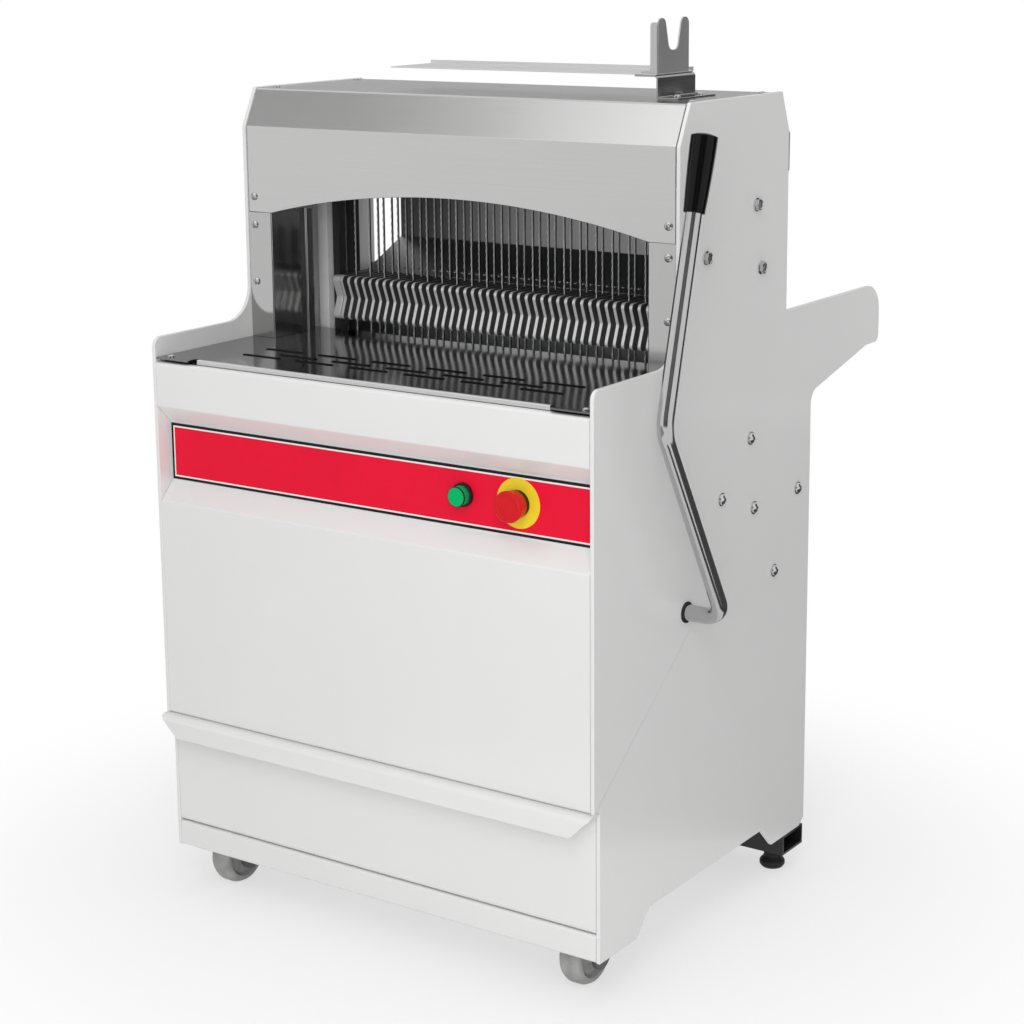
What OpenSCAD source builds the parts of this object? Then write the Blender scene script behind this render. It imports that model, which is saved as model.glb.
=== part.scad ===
// Lever-operated bread slicer on a white cabinet.
// Frame: X to the operator's right, Y towards the rear, Z up. The origin lies on the floor,
// midway between the side panels, in the plane of the front panel.

/* [Cabinet] */
// Outer width over both side panels
cab_w = 660; // [640:5:740]
// Thickness of the side panels
panel_t = 5; // [4:0.5:6]
// Depth of the base, from the front panel to the rear edge of the side panels
base_d = 528; // [522:1:540]
// Set-back of the drawer front behind the front panel
setback = 12; // [9:1:15]
// Height of the side panels' feet above the floor
foot_z = 57; // [55:1:62]
// Height of the skirt under the drawer
skirt_h = 34; // [34:1:40]
// Height of the drawer front
drawer_h = 151; // [140:1:155]
// Thickness of the folded white sheet
sheet_t = 2; // [1.5:0.25:2.5]
// Outer radius of the folds in the sheet
fold_r = 4; // [3:0.5:6]
// Side play of every sheet that sits between the side panels
side_play = 0.5; // [0.3:0.1:1]

/* [Feed table] */
// Height of the table's top above the floor
table_z = 716; // [708:1:726]
// Thickness of the stainless table sheet
table_t = 2; // [1.5:0.5:3]
// Depth of the front table
table_d = 290; // [285:1:300]
// Height of the side panels' rim above the table
rim_h = 25; // [15:1:35]
// Length of one crumb slot
slot_l = 60; // [40:1:70]
// Width of one crumb slot
slot_w = 4; // [3:0.5:6]
// Pitch of the crumb slots along a row
slot_pitch = 85; // [80:1:90]
// Width of the table's turned-down front lip
lip_w = 532; // [480:4:540]

/* [Controls] */
// Height of the flat floor of the control recess
recess_h = 77; // [72:1:84]
// Depth of the control recess
recess_d = 23; // [20:1:28]
// Drop of the recess centre below the table
recess_drop = 124.5; // [118:0.5:140]
// Place of the start button to the right of centre
start_x = 136; // [120:1:150]
// Place of the emergency stop to the right of centre
estop_x = 214; // [205:1:230]
// Diameter of the start button's cap
start_d = 25; // [23:0.5:28]
// Travel of the start button
start_travel = 3; // [2:0.5:4]
// Diameter of the emergency stop's mushroom head
estop_d = 38; // [35:1:42]
// Diameter of the emergency stop's yellow disc
disc_d = 60; // [50:1:66]
// Travel of the emergency stop
estop_travel = 5; // [3:0.5:5.5]

/* [Head] */
// Height of the head's top above the table
head_h = 327; // [320:1:340]
// Distance of the head's front behind the front panel
head_y = 186; // [180:1:192]
// Depth of the head
head_d = 269; // [264:1:280]
// Depth of the slanted edge between front and top
facet_d = 24; // [15:1:30]
// Height of the slanted edge between front and top
facet_h = 49; // [40:1:58]
// Height of the bridge below the slanted edge
bridge_h = 112; // [100:1:118]
// Rise of the bridge's arched lower edge
arch_rise = 34; // [20:1:45]
// Thickness of the stainless cover sheet
cover_t = 1.5; // [1:0.25:2]
// Width of the columns' front flanges
column_w = 38; // [34:1:40]
// Depth of the columns' inner walls
column_d = 70; // [60:1:76]
// Length of the side panels' wings behind the head
wing_l = 272; // [268:1:285]
// Height of the wings' top above the table
wing_rise = 52; // [44:1:60]

/* [Press comb] */
// Thickness of one slice, the pitch of fingers and blades
slice = 12; // [11.6:0.1:12]
// Number of comb fingers
fingers = 44; // [40:2:44]
// Thickness of one finger
finger_t = 5; // [4:0.5:6]
// Height of the comb
comb_h = 59; // [54:1:62]
// Height of the comb above the table
comb_lift = 12; // [10:1:14]
// Depth of the V in the comb's front edge
vee_d = 11; // [6:1:14]
// Distance of the comb's front behind the front panel
comb_y = 292; // [288:1:296]
// Height of the bar part of a finger
finger_h = 18; // [15:1:22]
// Travel of the press from front to rear
press_travel = 240; // [220:1:246]
// Diameter of the guide rods
rod_d = 14; // [12:1:15]

/* [Blades] */
// Thickness of one blade
blade_t = 0.8; // [0.6:0.1:1]
// Width of one blade
blade_w = 12; // [10:0.5:12.5]
// Pitch of the blades' scallops
tooth_pitch = 10; // [8:1:14]
// Depth of the blades' scallops
tooth_d = 1.8; // [1:0.1:2.5]
// Distance of the front blade frame behind the front panel
frame_y = 316; // [315:0.5:318]
// Thickness of a blade frame
frame_t = 14; // [13:0.5:14.5]
// Distance from one blade frame to the other
frame_gap = 30; // [29:0.5:30]
// Stroke of the blade frames, up plus down
stroke = 30; // [20:1:30]

/* [Lever] */
// Diameter of the lever bar
lever_d = 20; // [18:1:22]
// Drop of the lever's pivot below the table
lever_drop = 281; // [274:1:288]
// Distance of the lever's pivot behind the front panel
lever_y = 208; // [203:1:213]
// Distance of the lever's plane outside the side panel
lever_out = 51; // [44:1:60]
// Forward lean of the lever's lower arm
lever_lean = 29; // [25:0.5:32]
// Length of the lever's lower arm
lower_l = 292; // [270:1:310]
// Length of the lever's upper arm up to the grip
upper_l = 245; // [230:1:270]
// Angle of the bend between the arms
lever_bend = 44; // [38:1:50]
// Length of the grip
grip_l = 90; // [80:1:110]
// Diameter of the grip's free end
grip_d = 31; // [28:1:36]

/* [Running gear] */
// Diameter of the wheels
wheel_d = 80; // [72:1:80]
// Width of the wheels
wheel_w = 30; // [24:1:32]
// Diameter of the wheel axles
axle_d = 12; // [10:1:14]
// Distance of the wheels behind the front panel
wheel_y = 67; // [66:1:70]
// Diameter of the levelling feet
pad_d = 34; // [32:1:42]
// Diameter of the levelling feet's screws
screw_d = 12; // [10:1:14]
// Height of the rear cross member's underside above the floor
member_z = 30; // [26:1:34]

/* [Drive] */
// Drop of the crankshaft below the table
crank_drop = 173; // [168:1:178]
// Distance of the crankshaft behind the front panel
crank_y = 333; // [331:1:335]
// Diameter of the crankshaft
crank_d = 25; // [20:1:28]
// Diameter of the eccentric discs
eccentric_d = 64; // [62:1:66]
// Pitch radius of the driven pulley
driven_r = 62; // [55:1:65]
// Pitch radius of the motor pulley
pinion_r = 25; // [22:1:28]
// Diameter of the motor
motor_d = 124; // [110:1:128]
// Height of the motor's shelf above the drawer
shelf_rise = 12.8; // [10:0.2:18]

/* [Bag holder] */
// Length of the bag tray
tray_l = 396; // [340:1:420]
// Width of the bag tray
tray_w = 88; // [80:1:92]
// Place of the bag holder to the right of centre
holder_x = 252; // [230:1:262]
// Height of the bag holder's bracket
holder_h = 28; // [24:1:40]
// Height of the fork
fork_h = 65; // [58:1:76]
// Width of the fork
fork_w = 80; // [76:1:86]

/* [Hidden] */
$fn = 48;
run_fit = 0.05;
seat = 0.3;

white = "whitesmoke";
steel = "silver";
dark_steel = "dimgray";
black = [0.08, 0.08, 0.08];

// Cabinet planes
half_w = cab_w / 2;
inner_x = half_w - panel_t;
sheet_x = inner_x - side_play;
skirt_z = foot_z + skirt_h;
seam = 1.2;
drawer_z = skirt_z + seam;
drawer_top = drawer_z + drawer_h;
front_z = drawer_top + seam + 1;
front_top = table_z - 6;
rear_y = base_d - 6;
rear_top = table_z - 76;
toe_h = 30;
front_foot_l = 83;
rear_foot_y = base_d - 91;
rear_foot_l = 78;
sheet_flange = 10;

// Crumb drawer and cable gland
drawer_fold = fold_r + 3;
tray_low = drawer_z + drawer_fold + seat;
tray_h = 95;
tray_wall = 1.5;
gland_d = 20;
gland_x = 85 - inner_x;
gland_z = foot_z + 115;

// Head planes
rim_z = table_z + rim_h;
rim_fillet = 45;
rim_corner = 12;
head_z = table_z + head_h;
facet_z = head_z - facet_h;
head_rear = head_y + head_d;
bridge_z = facet_z - bridge_h;
cover_in = 1.5;
cover_z = head_z - cover_in;
front_y = head_y + cover_in;
wing_z = table_z + wing_rise;
wing_y = head_rear + wing_l;
wing_low = table_z - 28;
wing_root = [base_d, table_z - 66];
wing_knee = [wing_y - 37, wing_low];
wing_round = 36;
wing_corner = 10;
root_r = 20;
rear_facet_d = 19;

// Control recess
recess_z = table_z - recess_drop;
recess_low = recess_z - recess_h / 2;
recess_high = recess_z + recess_h / 2;
foil_t = 1;
foil_y = recess_d - foil_t;
button_z = recess_z + 2.5;
button_hole_d = 22;
stem_d = 14;
nose_d = 9;
nose_l = 6;
collar_h = 7;
bezel_h = 6;
stem_fit = 2 * run_fit;
disc_t = 1;
stem_front = foil_y - disc_t - collar_h - estop_travel - 1;

// Blade frames, inside guide posts that are bolted to the side panels
frame_out = inner_x - 37;
frame_bar = 11;
frame_in = frame_out - frame_bar;
frame_top = bridge_z + 68;
frame_low = table_z - 56;
top_bar_h = 20;
low_bar_h = 24;
blade_low = frame_low + low_bar_h;
blade_top = frame_top - top_bar_h;
blade_inset = frame_t - blade_w;
frame_end = frame_y + frame_gap + frame_t;
post_x = frame_out + 3;
post_w = 16;
post_y = frame_y - 8;
post_d = frame_gap + frame_t + 16;
post_low = table_z - 16;
post_top = frame_top + 32;
tongue_w = 6;
tongue_in = 4;

// Press comb and its carriages
comb_z = table_z + comb_lift;
comb_top = comb_z + comb_h;
comb_l = 150;
comb_half = slice * (fingers - 1) / 2;
edge_t = 11;
edge_x = comb_half + slice / 2 + 3.5;
cover_step = 17;
cover_rise = 21;
cover_back = 88;
bar_y = comb_y + comb_l;
bar_d = 20;
block_w = 19;
block_l = 48;
block_h = 24;
block_y = bar_y - 22;
block_x = sheet_x - 1 - block_w;
rod_x = block_x + block_w / 2;
rod_z = table_z - table_t - 11;
upright_t = 8;
drag_t = 6;
drag_h = 20;
drag_z = rod_z - 48;
drop_l = 22;
pin_d = 12;
pin_z = drag_z + drag_h / 2;
pin_y = lever_y - press_travel / 2;

// Cross beams that hold the guide rods and the rear table
beam_h = 22;
beam_d = 20;
end_beam_d = 10;
beam_front = frame_end + 14;
beam_rear = block_y + block_l + press_travel + 3;
rear_table_x = block_x - 8;

// Crank drive
crank_z = table_z - crank_drop;
crank_r = stroke / 2;
front_yoke_x = 170;
rear_yoke_x = 140;
yoke_t = 10;
yoke_wall = 12;
yoke_play = 3.6;
yoke_stem = 7;
window_h = eccentric_d + 2 * yoke_play;
window_w = eccentric_d + stroke + 4;
bearing_d = 56;
bearing_w = 20;
bearing_flange = 6;
pulley_x = yoke_t + 15 - rear_yoke_x;
pulley_w = 20;
rim_over = 5;
belt_w = 10;
belt_h = 7;
motor_l = 200;
motor_x = 25;
motor_box = 15;
motor_shaft_d = 19;
motor_foot = 12;
shelf_z = drawer_top + shelf_rise;
motor_z = shelf_z + motor_foot + motor_d / 2;
motor_y = rear_y - motor_d / 2 - 60;
tie_d = 16;

// Lever
lever_z = table_z - lever_drop;
lever_x = half_w + lever_out;
half_swing = atan(press_travel / 2 / (pin_z - lever_z));
elbow_r = 27;
bend_r = 45;
grip_end = 14;
bush_d = lever_d + 6;
bush_out = 1.5;
arm_t = 8;
arm_x = block_x - arm_t - 2.5;
arm_w = 36;
arm_slot = pin_d + 9;
arm_reach = (pin_z - lever_z) / cos(half_swing) + 14;

// Running gear
wheel_x = inner_x - 50;
bracket_t = 5;
bracket_z = wheel_d + 5;
bracket_gap = 5;
member_w = 56;
member_t = 3;
foot_x = inner_x - 25;
foot_y = base_d - 31;

// Bag holder
holder_y = head_y + 77;
holder_t = 2;
holder_l = 90;
holder_flange = 30;
tray_z = cover_z + holder_h;
tray_t = 1.5;
fork_z = tray_z + tray_t;
holder_in = 1;
fork_y = holder_y + holder_in + (tray_w - tray_t - fork_w) / 2;

// Middle of the footprint, where the shared frame has its origin
datum = [30, 357, 0];

// Fastener places on the side panels, as [behind the front panel, above the floor]
bolt_d = 8;
post_lugs = [[post_y + 64, bridge_z + 28], [post_y + 77, bridge_z - 51]];
column_lug = [front_y + column_d - 9, bridge_z - 23];
tie_places = [
    [crank_y + 31, crank_z + 77], [base_d - 35, crank_z - 13], [base_d - 97, motor_z + 104]
];
bearing_bolts = [for (s = [-1, 1]) [crank_y, crank_z] + s * [41.5, -14]];
hex_bolts = concat(post_lugs, [column_lug]);
dome_bolts = concat(tie_places, bearing_bolts);

// Shared shapes

// Extrudes a 2D outline drawn as (y, z) from x0 to x1
module across(x0, x1) {
    translate([x0, 0, 0]) rotate([90, 0, 90]) linear_extrude(x1 - x0) children();
}

// Extrudes a 2D outline drawn as (x, z) from y0 to y1
module along(y0, y1) {
    translate([0, y1, 0]) rotate([90, 0, 0]) linear_extrude(y1 - y0) children();
}

// Box between two opposite corners
module block(low, high) {
    translate(low) cube(high - low);
}

// Round bars along X, Y and Z
module bar_x(x0, x1, y, z, d) {
    translate([x0, y, z]) rotate([0, 90, 0]) cylinder(d = d, h = x1 - x0);
}

module bar_y(y0, y1, x, z, d) {
    translate([x, y0, z]) rotate([-90, 0, 0]) cylinder(d = d, h = y1 - y0);
}

module bar_z(z0, z1, x, y, d) {
    translate([x, y, z0]) cylinder(d = d, h = z1 - z0);
}

// The child and its mirror image on the other side of the machine
module both_sides() {
    children();
    mirror([1, 0, 0]) children();
}

// Region between a square corner at p and the arc of radius r in the quadrant (qx, qy)
module corner(p, r, qx, qy) {
    translate(p) difference() {
        translate([qx > 0 ? 0 : -r, qy > 0 ? 0 : -r]) square(r);
        translate([qx * r, qy * r]) circle(r);
    }
}

// Points on an arc about c, from angle a0 to a1 in n steps
function arc(c, r, a0, a1, n) =
    [for (i = [0 : n]) let (a = a0 + (a1 - a0) * i / n) c + r * [cos(a), sin(a)]];

// Unit direction of a path's step i, and the direction to its right
function heading(path, i) = let (v = path[i + 1] - path[i]) v / norm(v);
function right_of(v) = [v.y, -v.x];

// Arc of radius r that rounds the corner p between the directions a and b
function bend(p, a, b, r, n) =
    let (
        side = sign(cross(a, b)), turn = acos(a * b), start = p - a * r * tan(turn / 2),
        c = start - side * r * right_of(a), v = start - c
    )
    [for (i = [0 : n]) let (t = side * turn * i / n)
        c + [v.x * cos(t) - v.y * sin(t), v.x * sin(t) + v.y * cos(t)]];

// Path with every inner corner rounded
function rounded(path, r, n = 4) = [
    path[0],
    for (i = [1 : len(path) - 2]) each bend(path[i], heading(path, i - 1), heading(path, i), r, n),
    path[len(path) - 1]
];

// Outline of a sheet whose outer face follows path, with the thickness t on the path's right
function mitre(path, i) =
    let (a = right_of(heading(path, max(i - 1, 0))), b = right_of(heading(path, min(i, len(path) - 2))))
    (a + b) / (1 + a * b);
function sheet(path, t) =
    concat(path, [for (i = [len(path) - 1 : -1 : 0]) path[i] + mitre(path, i) * t]);

// Slot with round ends, drawn along X
module slot(length, width) {
    square([length - width, width], center = true);
    for (s = [-1, 1]) translate([s * (length - width) / 2, 0]) circle(d = width);
}

// Cabinet

// Rounded inner corner under the wing, between the rear edge and the wing's slanted lower edge
module wing_fillet() {
    along_edge = (wing_knee - wing_root) / norm(wing_knee - wing_root);
    down = right_of(along_edge);
    c = wing_root + [root_r, -root_r * (1 - down.x) / -down.y];
    difference() {
        polygon([wing_root, [base_d, c.y], c, c - root_r * down]);
        translate(c) circle(root_r);
    }
}

module side_outline() {
    difference() {
        union() {
            polygon([
                [setback, foot_z], [setback + front_foot_l, foot_z],
                [setback + front_foot_l + toe_h, foot_z + toe_h], [rear_foot_y - toe_h, foot_z + toe_h],
                [rear_foot_y, foot_z], [rear_foot_y + rear_foot_l, foot_z], [base_d, foot_z + 9],
                wing_root, wing_knee, [wing_y, wing_low], [wing_y, wing_z],
                [head_rear, wing_z], [head_rear, facet_z], [head_rear - rear_facet_d, head_z],
                [head_y + facet_d, head_z], [head_y, facet_z], [head_y, rim_z], [0, rim_z],
                [0, front_z], [setback, front_z]
            ]);
            corner([head_y, rim_z], rim_fillet, -1, 1);
            wing_fillet();
        }
        corner([0, rim_z], rim_corner, 1, -1);
        corner([wing_y, wing_z], wing_round, -1, -1);
        corner([wing_y, wing_low], wing_corner, -1, 1);
        translate([lever_y, lever_z]) circle(d = bush_d + 2 * run_fit);
        for (p = concat(hex_bolts, dome_bolts)) translate(p) circle(d = bolt_d + 0.4);
    }
}

module left_side_panel() {
    translate(-datum) color(white) across(-half_w, -inner_x) side_outline();
}

module right_side_panel() {
    translate(-datum) color(white) across(inner_x, half_w) side_outline();
}

module front_panel() {
    path = [
        [sheet_flange, front_z], [0, front_z], [0, recess_low - recess_d], [recess_d, recess_low],
        [recess_d, recess_high], [0, recess_high + recess_d], [0, front_top], [sheet_flange, front_top]
    ];
    translate(-datum) color(white) difference() {
        across(-sheet_x, sheet_x) polygon(sheet(rounded(path, fold_r), sheet_t));
        for (x = [start_x, estop_x])
            bar_y(recess_d - 1, recess_d + sheet_t + 1, x, button_z, button_hole_d);
    }
}

module control_foil() {
    edge = 1.8;
    translate(-datum) color("crimson") difference() {
        block([edge - sheet_x, foil_y, recess_low + edge], [sheet_x - edge, recess_d, recess_high - edge]);
        for (x = [start_x, estop_x]) bar_y(foil_y - 1, recess_d + 1, x, button_z, button_hole_d);
    }
}

module skirt() {
    flange = 26;
    path = [[setback + flange, foot_z], [setback, foot_z], [setback, skirt_z], [setback + flange, skirt_z]];
    translate(-datum) color(white) difference() {
        across(-sheet_x, sheet_x) polygon(sheet(rounded(path, fold_r), sheet_t));
        both_sides() block(
            [wheel_x - wheel_w, setback + fold_r + 1, foot_z - 1],
            [wheel_x + wheel_w, setback + flange + 1, foot_z + fold_r + 1]);
    }
}

module rear_panel() {
    flange = 16;
    low = foot_z + 4;
    path = [[rear_y - flange, rear_top], [rear_y, rear_top], [rear_y, low], [rear_y - flange, low]];
    louvre_l = 120;
    louvre_w = 5;
    louvre_pitch = 14;
    translate(-datum) color(white) difference() {
        across(-sheet_x, sheet_x) polygon(sheet(rounded(path, fold_r), sheet_t));
        for (x = [-150, 0, 150], i = [-2 : 2])
            translate([x, rear_y + 1, motor_z + louvre_pitch * i]) rotate([90, 0, 0])
                linear_extrude(sheet_t + 2) slot(louvre_l, louvre_w);
        bar_y(rear_y - sheet_t - 1, rear_y + 1, gland_x, gland_z, gland_d + 2 * run_fit);
    }
}

module cable_gland() {
    translate(-datum) color(black) difference() {
        union() {
            bar_y(rear_y - sheet_t - 8, rear_y, gland_x, gland_z, gland_d);
            bar_y(rear_y, rear_y + 5, gland_x, gland_z, gland_d + 8);
        }
        bar_y(rear_y - sheet_t - 9, rear_y + 6, gland_x, gland_z, gland_d - 10);
    }
}

module rear_member() {
    y0 = foot_y - member_w / 2;
    translate(-datum) color(black) difference() {
        block([-half_w, y0, member_z], [half_w, y0 + member_w, foot_z]);
        block(
            [-half_w - 1, y0 + member_t, member_z + member_t],
            [half_w + 1, y0 + member_w - member_t, foot_z - member_t]);
        both_sides() bar_z(member_z - 1, foot_z + 1, foot_x, foot_y, screw_d + 2 * run_fit);
    }
}

// Levelling foot: moulded pad, cone, neck and screw
module levelling_foot(x) {
    r = pad_d / 2;
    edge = 5;
    neck = r - 6;
    top = member_z - seat;
    translate(-datum) color(black) translate([x, foot_y, 0]) rotate_extrude() polygon(concat(
        [[0, 0], [r - edge, 0]],
        arc([r - edge, edge], edge, -70, 60, 5),
        [
            [neck, top * 0.6], [neck, top], [screw_d / 2, top], [screw_d / 2, foot_z + 12],
            [0, foot_z + 12]
        ]));
}

module foot_left() {
    levelling_foot(-foot_x);
}

module foot_right() {
    levelling_foot(foot_x);
}

module wheel_brackets() {
    leg = wheel_w / 2 + bracket_gap;
    top_l = 28;
    leg_d = 36;
    translate(-datum) color(steel) both_sides() difference() {
        union() {
            block(
                [wheel_x - leg - bracket_t, wheel_y - top_l, bracket_z - bracket_t],
                [inner_x, wheel_y + top_l, bracket_z]);
            for (x = [wheel_x - leg - bracket_t, wheel_x + leg]) {
                block(
                    [x, wheel_y - leg_d / 2, wheel_d / 2],
                    [x + bracket_t, wheel_y + leg_d / 2, bracket_z]);
                bar_x(x, x + bracket_t, wheel_y, wheel_d / 2, leg_d);
            }
        }
        bar_x(wheel_x - wheel_w - leg, wheel_x + wheel_w + leg, wheel_y, wheel_d / 2, axle_d + 2 * run_fit);
    }
}

module wheel_axles() {
    reach = wheel_w / 2 + bracket_gap + bracket_t;
    head = 4;
    translate(-datum) color(steel) both_sides() {
        bar_x(wheel_x - reach - head, wheel_x + reach + head, wheel_y, wheel_d / 2, axle_d);
        for (x = [wheel_x - reach - head, wheel_x + reach])
            bar_x(x, x + head, wheel_y, wheel_d / 2, axle_d + 7);
    }
}

// Moulded wheel: tread with round shoulders, dished web and hub
module wheel(x) {
    r = wheel_d / 2;
    w = wheel_w / 2;
    shoulder = 8;
    dish = 6;
    hub = axle_d / 2 + 7;
    bore = axle_d / 2 + run_fit;
    half = concat(
        [[bore, w + bracket_gap - seat], [hub, w + bracket_gap - seat], [hub + 2, w - dish]],
        [[r - 14, w - dish], [r - 11, w]],
        arc([r - shoulder, w - shoulder], shoulder, 90, 0, 5));
    translate(-datum) color("gray") translate([x, wheel_y, r]) rotate([0, 90, 0]) rotate_extrude($fn = 96)
        polygon(concat(half, [for (i = [len(half) - 1 : -1 : 0]) [half[i].x, -half[i].y]]));
}

module wheel_left() {
    wheel(-wheel_x);
}

module wheel_right() {
    wheel(wheel_x);
}

// Tables

module front_table() {
    corner_y = 1.5;
    lip_y = sheet_flange + 2;
    lip_drop = 14;
    lip = [[lip_y, table_z - lip_drop], [lip_y, table_z], [lip_y + 12, table_z]];
    notch = 6;
    row_y = [74, 95, 120];
    row_n = [6, 5, 6];
    translate(-datum) color(steel) {
        translate([0, 0, table_z - table_t]) linear_extrude(table_t) difference() {
            translate([-sheet_x, corner_y]) square([2 * sheet_x, table_d - corner_y]);
            translate([-lip_w / 2, 0]) square([lip_w, lip_y + 2]);
            for (s = [-1, 1]) translate([s * (lip_w + notch) / 2, lip_y / 2 + 2])
                square([notch, lip_y + 6], center = true);
            for (r = [0 : 2], i = [0 : row_n[r] - 1])
                translate([slot_pitch * (i - (row_n[r] - 1) / 2), row_y[r]]) slot(slot_l, slot_w);
        }
        across(-lip_w / 2, lip_w / 2) polygon(sheet(rounded(lip, fold_r), table_t));
        block([-frame_in, table_d - table_t, table_z - lip_drop], [frame_in, table_d, table_z - table_t]);
    }
}

module table_rails() {
    leg = 16;
    top = table_z - table_t;
    path = [[inner_x - leg, top], [inner_x, top], [inner_x, top - leg]];
    translate(-datum) color(dark_steel)
        both_sides() along(sheet_flange + 6, post_y - 12) polygon(sheet(path, 3));
}

module rear_table() {
    end = beam_rear + end_beam_d;
    flange = 16;
    translate(-datum) color(steel) {
        block([-rear_table_x, beam_front - 4, table_z - table_t], [rear_table_x, end, table_z]);
        both_sides() block(
            [rear_table_x - table_t, beam_front + beam_d + seat, table_z - flange],
            [rear_table_x, beam_rear - seat, table_z - table_t]);
    }
}

module rod_beams() {
    top = table_z - table_t;
    translate(-datum) color(dark_steel) difference() {
        for (b = [[beam_front, beam_d], [beam_rear, end_beam_d]])
            block([-sheet_x, b[0], top - beam_h], [sheet_x, b[0] + b[1], top]);
        both_sides() bar_y(beam_front - 1, beam_rear + end_beam_d + 1, rod_x, rod_z, rod_d + 2 * run_fit);
    }
}

module guide_rods() {
    translate(-datum) color(steel)
        both_sides() bar_y(beam_front, beam_rear + end_beam_d, rod_x, rod_z, rod_d);
}

// Head

// Right-hand column: folded angle with a turned-in rear edge and a lug on the side panel
module column() {
    inner = sheet_x - column_w;
    turn_in = 11;
    lug = 9;
    rear = front_y + column_d;
    path = [[sheet_x, front_y], [inner, front_y], [inner, rear], [inner - turn_in, rear]];
    translate([0, 0, table_z]) linear_extrude(bridge_z - seat - table_z)
        polygon(sheet(rounded(path, cover_t + 1), cover_t));
    block(
        [inner + cover_t, column_lug.x - lug, column_lug.y - lug],
        [inner_x, column_lug.x + lug - cover_t, column_lug.y + lug]);
}

module columns() {
    translate(-datum) color(steel) both_sides() column();
}

module head_cover() {
    y1 = head_rear - cover_in;
    slant = 0.6;
    lap = 24;
    path = [
        [front_y, bridge_z], [front_y, facet_z], [head_y + facet_d + slant, cover_z],
        [head_rear - rear_facet_d - slant, cover_z], [y1, facet_z], [y1, facet_z - lap]
    ];
    span = sheet_x - column_w;
    arch_r = (span * span + arch_rise * arch_rise) / (2 * arch_rise);
    translate(-datum) color(steel) difference() {
        across(-sheet_x, sheet_x) polygon(sheet(rounded(path, fold_r), cover_t));
        translate([0, front_y - 1, bridge_z + arch_rise - arch_r]) rotate([-90, 0, 0])
            cylinder(r = arch_r, h = cover_t + 2, $fn = 720);
    }
}

module rear_cover() {
    low = comb_top + cover_step + cover_rise + cover_back + 5;
    bulge = 10;
    bulge_h = 51;
    flange = 12;
    path = [
        [head_rear + 0.2, facet_z - 2], [head_rear + bulge, facet_z - 2],
        [head_rear + bulge, facet_z - bulge_h], [head_rear, facet_z - bulge_h - 6],
        [head_rear, low], [head_rear - flange, low]
    ];
    translate(-datum) color(black)
        across(-sheet_x, sheet_x) polygon(sheet(rounded(path, cover_t + 1), cover_t));
}

// Right-hand guide post with one groove for each blade frame and two lugs on the side panel
module guide_post() {
    lug = 10;
    difference() {
        union() {
            block([post_x, post_y, post_low], [post_x + post_w, post_y + post_d, post_top]);
            for (p = post_lugs) {
                block(
                    [post_x + post_w, post_y + post_d - 2 * lug, p.y - lug],
                    [inner_x, p.x + lug, p.y + lug]);
            }
        }
        for (y = [frame_y, frame_y + frame_gap]) block(
            [post_x - 1, y + (frame_t - tongue_w) / 2 - seat, post_low - 1],
            [post_x + tongue_in + seat, y + (frame_t + tongue_w) / 2 + seat, post_top + 1]);
    }
}

module guide_posts() {
    translate(-datum) color(steel) both_sides() guide_post();
}

// Blades

// Frame with its guide tongues and the two yokes that the eccentrics drive
module blade_frame(y, yoke_x) {
    yoke_top = crank_z + window_h / 2 + yoke_wall;
    yoke_low = crank_z - window_h / 2 - yoke_wall;
    yoke_half = window_w / 2 + yoke_wall;
    tongue_y = y + (frame_t - tongue_w) / 2;
    difference() {
        union() {
            block([-frame_out, y, frame_top - top_bar_h], [frame_out, y + frame_t, frame_top]);
            block([-frame_out, y, frame_low], [frame_out, y + frame_t, blade_low]);
            both_sides() {
                block([frame_in, y, frame_low], [frame_out, y + frame_t, frame_top]);
                block(
                    [frame_out, tongue_y, post_low + crank_r + 6],
                    [post_x + tongue_in, tongue_y + tongue_w, post_top - crank_r - 40]);
                block(
                    [yoke_x - yoke_t / 2, crank_y - yoke_half, yoke_low],
                    [yoke_x + yoke_t / 2, crank_y + yoke_half, yoke_top]);
                block([yoke_x - yoke_t / 2, y, yoke_top], [yoke_x + yoke_t / 2, y + yoke_stem, frame_low]);
            }
        }
        both_sides() block(
            [yoke_x - yoke_t, crank_y - window_w / 2, crank_z - window_h / 2],
            [yoke_x + yoke_t, crank_y + window_w / 2, crank_z + window_h / 2]);
    }
}

// Scalloped band from the lower to the upper bar, cutting edge towards the operator
module blade(y) {
    teeth = floor((blade_top - blade_low) / tooth_pitch);
    steps = 3;
    edge = [for (i = [0 : teeth * steps])
        [y + tooth_d * sin(180 * (i % steps) / steps), blade_low + tooth_pitch * i / steps]];
    polygon(concat([[y + blade_w, blade_low]], edge, [[y, blade_top], [y + blade_w, blade_top]]));
}

// Every second blade, starting at the gap given by first
module blade_row(y, first) {
    for (i = [first : 2 : fingers - 2]) {
        x = slice * (i - (fingers - 2) / 2);
        across(x - blade_t / 2, x + blade_t / 2) blade(y + blade_inset);
    }
}

module blade_frame_front() {
    translate(-datum) color(dark_steel) blade_frame(frame_y, front_yoke_x);
}

module blade_frame_rear() {
    translate(-datum) color(dark_steel) blade_frame(frame_y + frame_gap, rear_yoke_x);
}

module blades_front() {
    translate(-datum) color(steel) blade_row(frame_y, 0);
}

module blades_rear() {
    translate(-datum) color(steel) blade_row(frame_y + frame_gap, 1);
}

// Drive

module crankshaft() {
    half = yoke_t / 2 + 2;
    translate(-datum) color(steel) {
        bar_x(-inner_x + 2, inner_x - 2, crank_y, crank_z, crank_d);
        for (s = [-1, 1], e = [[s * front_yoke_x, crank_r], [s * rear_yoke_x, -crank_r]])
            bar_x(e[0] - half, e[0] + half, crank_y + e[1], crank_z, eccentric_d);
    }
}

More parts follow.
